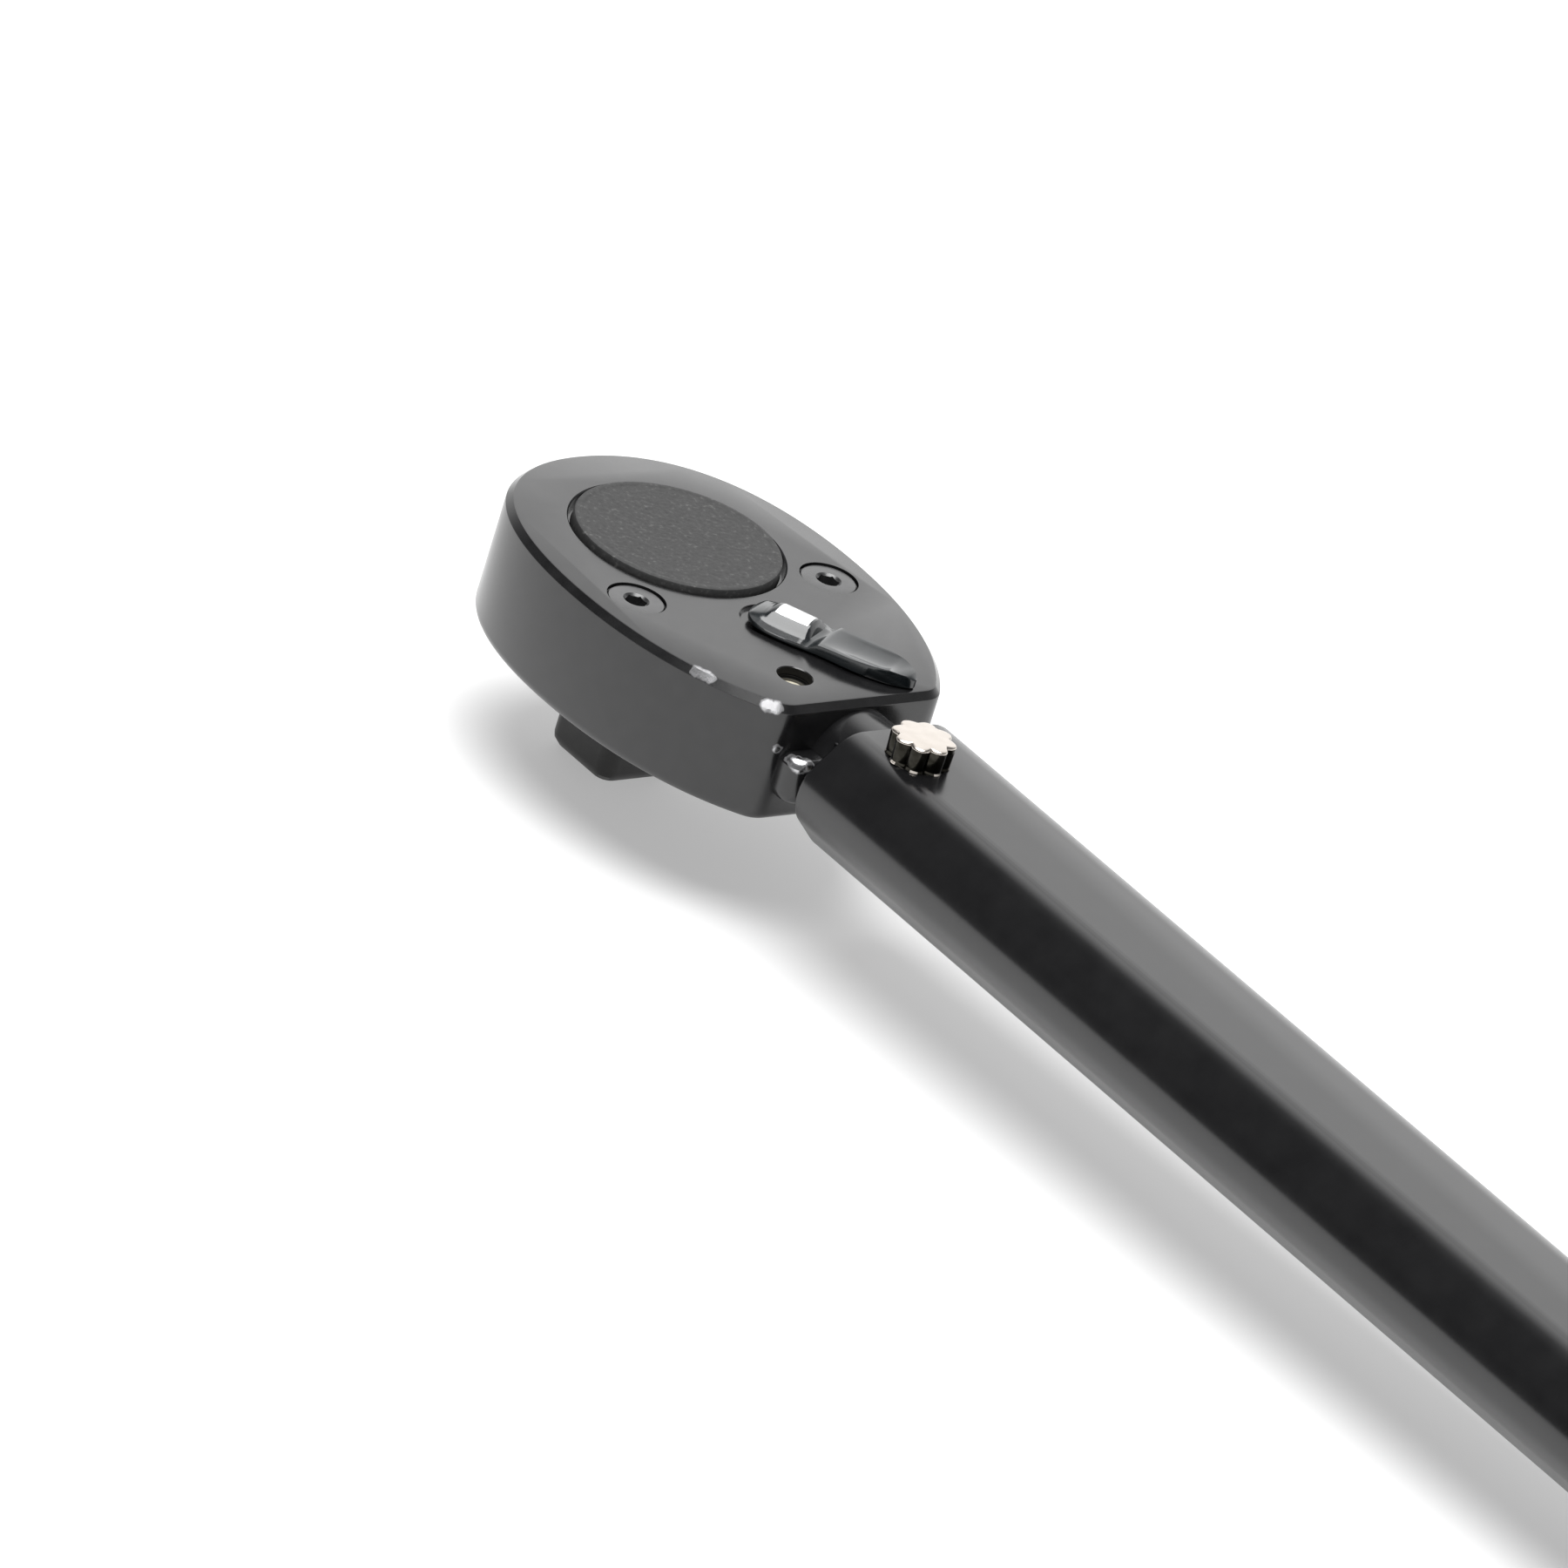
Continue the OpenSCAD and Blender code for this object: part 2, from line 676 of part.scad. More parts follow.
head_housing();
bottom_cover();
cover_screws();
pawl_screws();
spring_posts();
pivot_bushing();
lever_ball_spring();
pawl_spring_left();
pawl_spring_right();
drive_wheel();
drive_cap();
detent_spring();
detent_ball();
pawl_left();
pawl_right();
reversing_lever();
lever_cam();
lever_ball();
body_tube();
pivot_pin();
pivot_nut();
pivot_spacer();
plunger_guide();
main_spring();
toggle_block();
plunger();
spring_seat();
adjusting_nut();
adjusting_screw();
lock_nut();
end_bushing();
bushing_pins();
grip_sleeve();
grip_ring();
end_cap();
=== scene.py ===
# Looks of the ratcheting breaker bar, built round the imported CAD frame. Shapes are in millimetres and
# become metres in mesh_object. The bounds, bump depths and the light's place are in metres.
import math

import bmesh
import bpy
import numpy as np
from mathutils import Matrix, Vector, noise


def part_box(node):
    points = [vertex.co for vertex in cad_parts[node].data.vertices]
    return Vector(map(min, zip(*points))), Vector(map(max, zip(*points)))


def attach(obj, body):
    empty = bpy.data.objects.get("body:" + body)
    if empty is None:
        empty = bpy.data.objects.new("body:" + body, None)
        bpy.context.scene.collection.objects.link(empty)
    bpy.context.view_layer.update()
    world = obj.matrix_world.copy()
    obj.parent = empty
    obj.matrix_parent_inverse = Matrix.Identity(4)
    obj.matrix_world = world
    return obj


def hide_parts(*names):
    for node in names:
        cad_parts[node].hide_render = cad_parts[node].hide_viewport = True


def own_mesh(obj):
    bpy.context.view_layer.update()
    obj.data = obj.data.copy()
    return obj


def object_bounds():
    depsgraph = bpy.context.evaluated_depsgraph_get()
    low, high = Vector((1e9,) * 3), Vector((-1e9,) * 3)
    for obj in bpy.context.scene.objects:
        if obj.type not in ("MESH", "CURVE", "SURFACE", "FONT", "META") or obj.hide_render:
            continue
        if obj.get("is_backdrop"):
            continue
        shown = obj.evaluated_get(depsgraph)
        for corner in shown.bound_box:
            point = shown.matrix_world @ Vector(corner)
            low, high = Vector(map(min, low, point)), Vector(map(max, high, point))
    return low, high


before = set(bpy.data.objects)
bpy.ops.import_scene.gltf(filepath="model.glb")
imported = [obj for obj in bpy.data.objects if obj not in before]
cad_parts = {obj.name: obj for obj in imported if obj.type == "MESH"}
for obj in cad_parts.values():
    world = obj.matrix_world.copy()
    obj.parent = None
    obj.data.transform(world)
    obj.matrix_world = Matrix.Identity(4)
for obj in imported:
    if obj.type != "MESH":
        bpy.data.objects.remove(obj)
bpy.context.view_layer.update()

MM = 0.001


def box(name):
    """Lowest and highest corner of a CAD node at rest, in millimetres."""
    lo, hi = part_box(name)
    return np.array(lo) / MM, np.array(hi) / MM


# ---------------------------------------------------------------- sizes

# From the frame's boxes.
HEAD_HI = box("head_housing")[1]
TUBE_LO, TUBE_HI = box("body_tube")
WHEEL_LO = box("drive_wheel")[0]
CAP_LO, CAP_HI = box("drive_cap")
PIN_LO, PIN_HI = box("pivot_pin")
GRIP_LO, GRIP_HI = box("grip_sleeve")
RING_LO, RING_HI = box("grip_ring")
END_LO, END_HI = box("end_cap")
BUSH_LO, BUSH_HI = box("pivot_bushing")
BALL_LO, BALL_HI = box("detent_ball")
LEVER_BALL_LO, LEVER_BALL_HI = box("lever_ball")
COVER_Z1 = box("bottom_cover")[1][2]
POST_Z0 = box("spring_posts")[0][2]
CAM_Z0 = box("lever_cam")[0][2]
Z0, Z1 = TUBE_LO[2], TUBE_HI[2]
MID_Z = (Z0 + Z1) / 2
HEAD_HALF_W = HEAD_HI[1]
TUBE_HALF_W = TUBE_HI[1]
TUBE_HALF_H = (Z1 - Z0) / 2
GRIP_T = GRIP_HI[1] - TUBE_HALF_W
PIVOT = (BUSH_LO[:2] + BUSH_HI[:2]) / 2

# Design sizes that no box gives.
CAVITY_Z1 = 12.4
HEAD_REAR, HEAD_REAR_HALF = 41.8, 12.8
LEDGE_X1, LEDGE_HALF, LEDGE_Z0, LEDGE_Z1 = 45.4, 11.8, 5, 11.5
NECK_R, NECK_X1 = 7.2, 47.6
TUBE_FLAT, TUBE_WALL = 15.65, 1.8
TUBE_LEG = TUBE_HALF_W - TUBE_FLAT / 2
PIN_LOBES = 8
DRIVE_HALF = 12.7 / 2
PAWL_PIVOT = (12.5, 16.4)
POST, POST_MOUTH_Z = (34.26, 6.22), Z1 - 1.6
LEVER_X = 21.5
LEVER_ANGLE = math.radians(26)
LEVER_Z0 = Z1 + 0.25

# Edges that bend by less than this many degrees are shaded smooth.
SMOOTH, CRISP = 35, 24


# ---------------------------------------------------------------- mesh tools

def mesh_object(name, verts, faces, smooth_angle=SMOOTH):
    """A mesh object from vertices in millimetres, with outward normals."""
    mesh = bpy.data.meshes.new(name)
    mesh.from_pydata([tuple(float(c) * MM for c in v) for v in verts], [], [tuple(f) for f in faces])
    return finish_mesh(name, mesh, smooth_angle)


def finish_mesh(name, mesh, smooth_angle):
    """Welds a mesh and marks the edges that bend by more than the angle, in degrees, as sharp."""
    bm = bmesh.new()
    bm.from_mesh(mesh)
    bmesh.ops.remove_doubles(bm, verts=bm.verts, dist=1e-7)
    bmesh.ops.dissolve_degenerate(bm, edges=bm.edges, dist=1e-7)
    bmesh.ops.recalc_face_normals(bm, faces=bm.faces)
    limit = math.radians(smooth_angle)
    for face in bm.faces:
        face.smooth = True
    for edge in bm.edges:
        edge.smooth = len(edge.link_faces) == 2 and edge.calc_face_angle(0) < limit
    bm.to_mesh(mesh)
    bm.free()
    obj = bpy.data.objects.new(name, mesh)
    bpy.context.scene.collection.objects.link(obj)
    return obj


def loft(name, rings, smooth_angle=SMOOTH, closed=False):
    """Skin over rings of equal length. Ends are capped, or joined to each other when closed."""
    n, m = len(rings), len(rings[0])
    verts = [p for ring in rings for p in ring]
    spans = n if closed else n - 1
    faces = [
        (i * m + j, i * m + (j + 1) % m, (i + 1) % n * m + (j + 1) % m, (i + 1) % n * m + j)
        for i in range(spans) for j in range(m)
    ]
    if not closed:
        faces.append(tuple(range(m)))
        faces.append(tuple((n - 1) * m + j for j in reversed(range(m))))
    return mesh_object(name, verts, faces, smooth_angle)


def round_angles(n):
    return [2 * math.pi * k / n for k in range(n)]


def circle(r, z, x=0.0, y=0.0, n=96):
    """A level circle round a vertical axis."""
    return [(x + r * math.cos(a), y + r * math.sin(a), z) for a in round_angles(n)]


def upright_circle(r, x, z, n):
    """A circle round an axis along X, at height z."""
    return [(x, r * math.cos(a), z + r * math.sin(a)) for a in round_angles(n)]


def turned(name, profile, x=0.0, y=0.0, n=96, smooth_angle=SMOOTH):
    """A solid of revolution about a vertical axis, from (radius, height) pairs."""
    return loft(name, [circle(max(r, 0.001), z, x, y, n) for r, z in profile], smooth_angle)


def arc(cx, cy, r, a0, a1, n):
    """Points on an arc, both ends included, angles in degrees."""
    angles = [math.radians(a0 + (a1 - a0) * i / n) for i in range(n + 1)]
    return [(cx + r * math.cos(a), cy + r * math.sin(a)) for a in angles]


def rounded(points, radii, n=8):
    """A polygon with each corner replaced by a tangent arc of its own radius."""
    out = []
    count = len(points)
    for i, r in zip(range(count), radii):
        p = np.array(points[i], float)
        a = np.array(points[i - 1], float) - p
        b = np.array(points[(i + 1) % count], float) - p
        a /= np.linalg.norm(a)
        b /= np.linalg.norm(b)
        half = math.acos(max(-1, min(1, float(a @ b)))) / 2
        reach = r / math.tan(half)
        centre = p + (a + b) / np.linalg.norm(a + b) * (r / math.sin(half))
        start, stop = p + a * reach - centre, p + b * reach - centre
        a0 = math.atan2(start[1], start[0])
        turn = (math.atan2(stop[1], stop[0]) - a0 + math.pi) % (2 * math.pi) - math.pi
        for k in range(n + 1):
            a = a0 + turn * k / n
            out.append(tuple(centre + r * np.array([math.cos(a), math.sin(a)])))
    return out


def inset(points, d):
    """A closed outline moved inwards by d, for outlines that run counterclockwise."""
    pts = np.array(points)
    ahead, behind = np.roll(pts, -1, 0) - pts, pts - np.roll(pts, 1, 0)
    ahead /= np.linalg.norm(ahead, axis=1)[:, None]
    behind /= np.linalg.norm(behind, axis=1)[:, None]
    normal = np.c_[-(ahead + behind)[:, 1], (ahead + behind)[:, 0]]
    normal /= np.linalg.norm(normal, axis=1)[:, None]
    cos_half = np.clip((normal * np.c_[-ahead[:, 1], ahead[:, 0]]).sum(1), 0.3, 1)
    return pts + normal * (d / cos_half)[:, None]


def prism(name, outline, z0, z1):
    return loft(name, [[(x, y, z) for x, y in outline] for z in (z0, z1)])


def stepped(name, outline, levels, smooth_angle=SMOOTH):
    """A solid on an outline that is moved inwards by its own distance at each height."""
    rings = [[(x, y, z) for x, y in inset(outline, d)] for d, z in levels]
    return loft(name, rings, smooth_angle)


def soft_foot(r, z):
    """Levels for stepped that round the lower edge at height z."""
    return [(r - x, z + r - y) for x, y in arc(0, 0, r, 90, 0, 6)]


def combine(target, others, operation):
    """Applies one exact boolean after another and removes the tools."""
    for other in others:
        mod = target.modifiers.new("cut", "BOOLEAN")
        mod.operation, mod.solver, mod.object = operation, "EXACT", other
        bpy.context.view_layer.update()
        evaluated = target.evaluated_get(bpy.context.evaluated_depsgraph_get())
        done = bpy.data.meshes.new_from_object(evaluated)
        target.modifiers.clear()
        target.data = done
        bpy.data.objects.remove(other)
    return target


def tidy(obj, smooth_angle):
    """Rebuilds normals and sharp edges after booleans."""
    mesh = obj.data
    name = obj.name
    bpy.data.objects.remove(obj)
    return finish_mesh(name, mesh, smooth_angle)


def cut(target, tools):
    """The target without the tools, which are used up."""
    return combine(target, tools, "DIFFERENCE")


def join(target, tools):
    """The target together with the tools, which are used up."""
    return combine(target, tools, "UNION")


def drill(x, y, z_low, z_high, r, bevel=0.0):
    """A vertical drill from z_low up out of z_high, its mouth opened by a small bevel."""
    mouth = r + bevel
    profile = [(r, z_low), (r, z_high - bevel), (mouth, z_high), (mouth + 0.5, z_high + 0.5)]
    return turned("drill", profile, x, y, 64)


def block(x0, x1, y0, y1, z0, z1):
    return prism("block", [(x0, y0), (x1, y0), (x1, y1), (x0, y1)], z0, z1)


def ball(name, node_lo, node_hi):
    """A sphere that fills a node's box."""
    centre, r = (node_lo + node_hi) / 2, (node_hi[2] - node_lo[2]) / 2
    profile = [(x, centre[2] + z) for x, z in arc(0, 0, r, -90, 90, 32)]
    return turned(name, profile, centre[0], centre[1], 64, 60)


def spring(name, lo, hi, wire, turns, part):
    """A round-wire compression spring along X in the box from lo to hi. part is the share that is drawn."""
    y, z = (lo[1] + hi[1]) / 2, (lo[2] + hi[2]) / 2
    r = (hi[2] - lo[2] - wire) / 2
    per_turn, sides = 28, 12
    steps = turns * per_turn
    rings = []
    for i in range(int(steps * part[0]), int(steps * part[1]) + 1):
        a = 2 * math.pi * i / per_turn
        x = lo[0] + wire / 2 + (hi[0] - lo[0] - wire) * i / steps
        ring = []
        for b in round_angles(sides):
            rr = r + wire / 2 * math.cos(b)
            ring.append((x + wire / 2 * math.sin(b), y + rr * math.sin(a), z - rr * math.cos(a)))
        rings.append(ring)
    return loft(name, rings, 60)


def hexagon(r, x, y, z0, z1):
    angles = [math.pi * k / 3 for k in range(6)]
    outline = [(x + r * math.cos(a), y + r * math.sin(a)) for a in angles]
    return prism("hexagon", outline, z0, z1)


# ---------------------------------------------------------------- materials

def material(name):
    mat = bpy.data.materials.new(name)
    mat.use_nodes = True
    tree = mat.node_tree
    shader = tree.nodes["Principled BSDF"]
    return mat, tree, shader


def node(tree, kind, **values):
    """A shader node with its inputs or settings given by name."""
    made = tree.nodes.new(kind)
    for key, value in values.items():
        if key in made.inputs:
            made.inputs[key].default_value = value
        else:
            setattr(made, key, value)
    return made


def object_noise(tree, scale, detail, stretch=(1, 1, 1)):
    """Noise in object space; scale is features per metre."""
    coords = node(tree, "ShaderNodeTexCoord")
    mapping = node(tree, "ShaderNodeMapping")
    mapping.inputs["Scale"].default_value = stretch
    made = node(tree, "ShaderNodeTexNoise", Scale=scale, Detail=detail)
    tree.links.new(coords.outputs["Object"], mapping.inputs["Vector"])
    tree.links.new(mapping.outputs["Vector"], made.inputs["Vector"])
    return made


def ramp(tree, source, stops):
    """Colours by value, from pairs of place and colour."""
    made = node(tree, "ShaderNodeValToRGB")
    elements = made.color_ramp.elements
    while len(elements) < len(stops):
        elements.new(0.5)
    for element, (place, colour) in zip(elements, stops):
        element.position = place
        element.color = (*colour, 1)
    tree.links.new(source, made.inputs["Fac"])
    return made


def spread(tree, source, low, high):
    """Maps values from 0 to 1 to the range from low to high."""
    made = node(tree, "ShaderNodeMapRange")
    made.inputs["To Min"].default_value = low
    made.inputs["To Max"].default_value = high
    tree.links.new(source, made.inputs["Value"])
    return made


def math_node(tree, operation, a, b):
    made = node(tree, "ShaderNodeMath", operation=operation)
    for socket, value in zip(made.inputs, (a, b)):
        if isinstance(value, (int, float)):
            socket.default_value = value
        else:
            tree.links.new(value, socket)
    return made.outputs["Value"]


def bump(tree, shader, source, strength, distance):
    made = node(tree, "ShaderNodeBump", Strength=strength, Distance=distance)
    tree.links.new(source, made.inputs["Height"])
    tree.links.new(made.outputs["Normal"], shader.inputs["Normal"])


def finish(name, dark, light, rough, scale, metallic=0.0, ior=1.5, stretch=(1, 1, 1),
           grain=0.0, grain_scale=4000, grain_depth=2e-5):
    """A surface whose colour and roughness wander a little, with a fine grain."""
    mat, tree, shader = material(name)
    shader.inputs["Metallic"].default_value = metallic
    shader.inputs["IOR"].default_value = ior
    cloud = object_noise(tree, scale, 5, stretch)
    colour = ramp(tree, cloud.outputs["Fac"], [(0.3, dark), (0.7, light)])
    tree.links.new(colour.outputs["Color"], shader.inputs["Base Color"])
    patch = object_noise(tree, scale * 0.37, 3, stretch)
    roughness = spread(tree, patch.outputs["Fac"], rough[0], rough[1])
    tree.links.new(roughness.outputs["Result"], shader.inputs["Roughness"])
    if grain:
        fine = object_noise(tree, grain_scale, 3, stretch)
        bump(tree, shader, fine.outputs["Fac"], grain, grain_depth)
    return mat


satin_black = finish(
    "satin_black", (0.004, 0.004, 0.0045), (0.007, 0.007, 0.0075), (0.18, 0.26), 240,
    ior=1.59, grain=0.08, grain_scale=2400, grain_depth=1e-5)
head_black = finish(
    "head_black", (0.005, 0.005, 0.0055), (0.010, 0.010, 0.0105), (0.14, 0.24), 420,
    ior=1.62, grain=0.16, grain_scale=620)
screw_black = finish(
    "screw_black", (0.012, 0.012, 0.013), (0.024, 0.024, 0.025), (0.22, 0.36), 900, ior=1.8, grain=0.1)
lever_black = finish(
    "lever_black", (0.006, 0.008, 0.009), (0.011, 0.014, 0.016), (0.10, 0.19), 500,
    ior=1.66, grain=0.12, grain_scale=900, grain_depth=3e-5)
# Darker, duller black for the walls of the small holes: painted shade.
hole_shade_black = finish("hole_shade_black", (0.003, 0.003, 0.003), (0.006, 0.006, 0.006), (0.6, 0.8), 900, ior=1.3)
# Bright bare steel for the top of the lever's ridge: a painted highlight, partly wear.
worn_highlight_steel = finish(
    "worn_highlight_steel", (0.60, 0.60, 0.61), (0.88, 0.88, 0.89), (0.24, 0.42), 900,
    metallic=0.9, grain=0.35, grain_scale=1500, grain_depth=4e-5)
square_black = finish(
    "square_black", (0.006, 0.006, 0.006), (0.012, 0.012, 0.011), (0.28, 0.42), 700,
    ior=1.6, grain=0.2, grain_scale=2500)
ground_steel = finish(
    "ground_steel", (0.42, 0.43, 0.45), (0.66, 0.67, 0.69), (0.18, 0.34), 600,
    metallic=1.0, stretch=(1, 6, 6), grain=0.15, grain_scale=3000)
spring_wire = finish(
    "spring_wire", (0.22, 0.22, 0.23), (0.38, 0.38, 0.40), (0.25, 0.4), 900, metallic=1.0, grain=0.1)
polished_nickel = finish(
    "polished_nickel", (0.545, 0.50, 0.455), (0.60, 0.555, 0.51), (0.18, 0.28), 500,
    metallic=1.0, grain=0.05)
# Darker copy of the nickel for the pin's fluted sides: painted shade.
shaded_nickel = finish(
    "shaded_nickel", (0.016, 0.015, 0.012), (0.042, 0.040, 0.034), (0.10, 0.22), 900, metallic=1.0, grain=0.1)
pale_brass = finish(
    "pale_brass", (0.72, 0.66, 0.50), (0.86, 0.81, 0.67), (0.42, 0.60), 800, metallic=0.35, grain=0.1)
grip_rubber = finish(
    "grip_rubber", (0.012, 0.012, 0.012), (0.024, 0.024, 0.025), (0.55, 0.75), 700,
    ior=1.45, grain=0.5, grain_scale=5200, grain_depth=4e-5)


def wear_and_glint_spots(mat, places):
    """Bare metal spots with a centre and a radius, ragged by noise: partly wear where the black has rubbed
    off, partly painted highlights where the chamfer and the ledge glint.
    """
    # Grey bare metal for the spots: painted highlight, partly wear.
    bare_glint_grey = (0.46, 0.46, 0.47)
    tree = mat.node_tree
    shader = tree.nodes["Principled BSDF"]
    coords = node(tree, "ShaderNodeTexCoord")
    cover = None
    for centre, radius in places:
        away = node(tree, "ShaderNodeVectorMath", operation="DISTANCE")
        away.inputs[1].default_value = [c * MM for c in centre]
        tree.links.new(coords.outputs["Object"], away.inputs[0])
        near = math_node(tree, "DIVIDE", away.outputs["Value"], radius * MM)
        cover = near if cover is None else math_node(tree, "MINIMUM", cover, near)
    ragged = spread(tree, object_noise(tree, 1100, 2).outputs["Fac"], -0.5, 0.5).outputs["Result"]
    edge = math_node(tree, "ADD", cover, ragged)
    wear_glint_mask = ramp(tree, edge, [(0.55, (1, 1, 1)), (0.95, (0, 0, 0))]).outputs["Color"]
    mix = node(tree, "ShaderNodeMix", data_type="RGBA")
    tree.links.new(wear_glint_mask, mix.inputs["Factor"])
    tree.links.new(shader.inputs["Base Color"].links[0].from_socket, mix.inputs["A"])
    mix.inputs["B"].default_value = (*bare_glint_grey, 1)
    tree.links.new(mix.outputs["Result"], shader.inputs["Base Color"])
    tree.links.new(wear_glint_mask, shader.inputs["Metallic"])
    return mat


def textured_cap():
    """Fine, matt, mottled black with a few pale specks."""
    mat, tree, shader = material("cap_texture")
    shader.inputs["IOR"].default_value = 1.5
    cloud = object_noise(tree, 1500, 6)
    base, mottle, speck = (0.017, 0.017, 0.017), (0.027, 0.027, 0.027), (0.075, 0.075, 0.073)
    colour = ramp(tree, cloud.outputs["Fac"], [(0.32, base), (0.60, mottle), (0.74, speck)])
    tree.links.new(colour.outputs["Color"], shader.inputs["Base Color"])
    fine = object_noise(tree, 3600, 6)
    roughness = spread(tree, fine.outputs["Fac"], 0.55, 0.8)
    tree.links.new(roughness.outputs["Result"], shader.inputs["Roughness"])
    bump(tree, shader, fine.outputs["Fac"], 0.5, 6e-5)
    return mat


cap_texture = textured_cap()


def paint(obj, mat):
    """Makes mat the only material of a piece."""
    obj.data.materials.clear()
    obj.data.materials.append(mat)


def dress(obj, mat, body, replaces, patch=None, where=None):
    """Gives a piece its material and body and hides the CAD nodes it replaces; patch covers the faces that
    where() picks.
    """
    paint(obj, mat)
    if patch:
        obj.data.materials.append(patch)
        for face in obj.data.polygons:
            face.material_index = int(where(np.array(face.center) / MM, face.normal))
    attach(obj, body)
    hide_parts(*replaces)
    return obj


# ---------------------------------------------------------------- head

# Plan of the space for the pawls.
CHAMBER = [(8, -20.3), (15.5, -20.3), (27, -12.5), (27, 12.5), (15.5, 20.3), (8, 20.3)]

# Centre and radius of each bare spot: painted highlights where the chamfer's edge and the ledge's bevel
# glint, drawn as places where the black has rubbed off.
WEAR_AND_GLINT_SPOTS = [
    ((30.2, -19.5, Z1 - 0.5), 1.0), ((31.2, -19.1, Z1 - 0.5), 1.1), ((32.1, -18.7, Z1 - 0.5), 0.9),
    ((39.3, -14.6, Z1 - 0.5), 1.1), ((40.2, -13.9, Z1 - 0.5), 1.2), ((41.5, -12.7, LEDGE_Z1 + 0.4), 0.8),
    ((43.0, -11.2, LEDGE_Z1 - 0.3), 1.0), ((44.3, -10.7, LEDGE_Z1 - 0.3), 1.6),
    ((44.9, -9.5, LEDGE_Z1 - 0.3), 1.0),
]


def bezier(points, t):
    a, b, c, d = np.array(points, float)
    return (1 - t) ** 3 * a + 3 * (1 - t) ** 2 * t * b + 3 * (1 - t) * t * t * c + t ** 3 * d


def head_outline():
    """Plan of the head, counterclockwise: from the nose to the flat rear at -y, and back at +y."""
    nose = [(-23.1, 0), (-23.1, 15.5), (-11, HEAD_HALF_W), (9, HEAD_HALF_W)]
    shoulder = [(9, HEAD_HALF_W), (24, HEAD_HALF_W), (35.5, 19.4), (HEAD_REAR, HEAD_REAR_HALF)]
    steps = 44
    upper = [bezier(nose, i / steps) for i in range(steps)]
    upper += [bezier(shoulder, i / steps) for i in range(steps - 2)]
    corner, corner_drop = np.array(shoulder[3], float), 1.9
    start = bezier(shoulder, 1 - 2.8 / steps)
    stop = corner - [0, corner_drop]
    for t in np.linspace(0, 1, 7):
        upper.append((1 - t) ** 2 * start + 2 * t * (1 - t) * corner + t * t * stop)
    upper += [np.array([HEAD_REAR, HEAD_REAR_HALF * (1 - f)]) for f in (0.3, 0.6)]
    upper = [np.array(p, float) for p in upper]
    lower = [p * [1, -1] for p in upper[1:]]
    return np.array([upper[0]] + lower + [np.array([HEAD_REAR, 0.0])] + upper[:0:-1])


def head_shell(outline):
    """The head's outer form: soft lower edge, crisp chamfer round the top face."""
    foot, chamfer, edge = 1.5, 1.0, 0.16
    levels = soft_foot(foot, Z0)
    levels += [(0.0, Z1 - chamfer - edge), (edge * 0.3, Z1 - chamfer), (chamfer * 0.86, Z1 - edge * 0.5),
               (chamfer + edge * 0.6, Z1)]
    return stepped("head_forging", outline, levels, CRISP)


def make_neck():
    """The round neck between the head's rear wall and the tube's mouth."""
    levels = [(HEAD_REAR - 3, NECK_R), (NECK_X1 - 0.5, NECK_R), (NECK_X1 - 0.1, NECK_R - 0.2),
              (NECK_X1, NECK_R - 0.6)]
    return loft("neck", [upright_circle(r, x, MID_Z, 96) for x, r in levels])


def make_ledge():
    """Low ledge at the head's rear, with a bevel round its top."""
    x0, bevel, foot, corner = HEAD_REAR - 6, 1.1, 1.5, 2.6
    corners = [(LEDGE_X1, LEDGE_HALF), (x0, LEDGE_HALF), (x0, -LEDGE_HALF), (LEDGE_X1, -LEDGE_HALF)]
    levels = soft_foot(foot, LEDGE_Z0)
    levels += [(0, LEDGE_Z1 - bevel), (bevel * 0.3, LEDGE_Z1 - bevel * 0.45),
               (bevel * 0.75, LEDGE_Z1 - 0.1), (bevel, LEDGE_Z1)]
    return stepped("ledge", rounded(corners, [corner] * 4), levels)


def make_shank():
    """The flat bar that runs back into the tube, with its round eye on the pivot."""
    half_w, half_h, eye_r = 6, 4.5, 6.3
    z0, z1 = MID_Z - half_h, MID_Z + half_h
    eye = turned("eye", [(eye_r, z0), (eye_r, z1)], *PIVOT)
    return join(block(NECK_X1 - 3, HEAD_HI[0], -half_w, half_w, z0, z1), [eye])


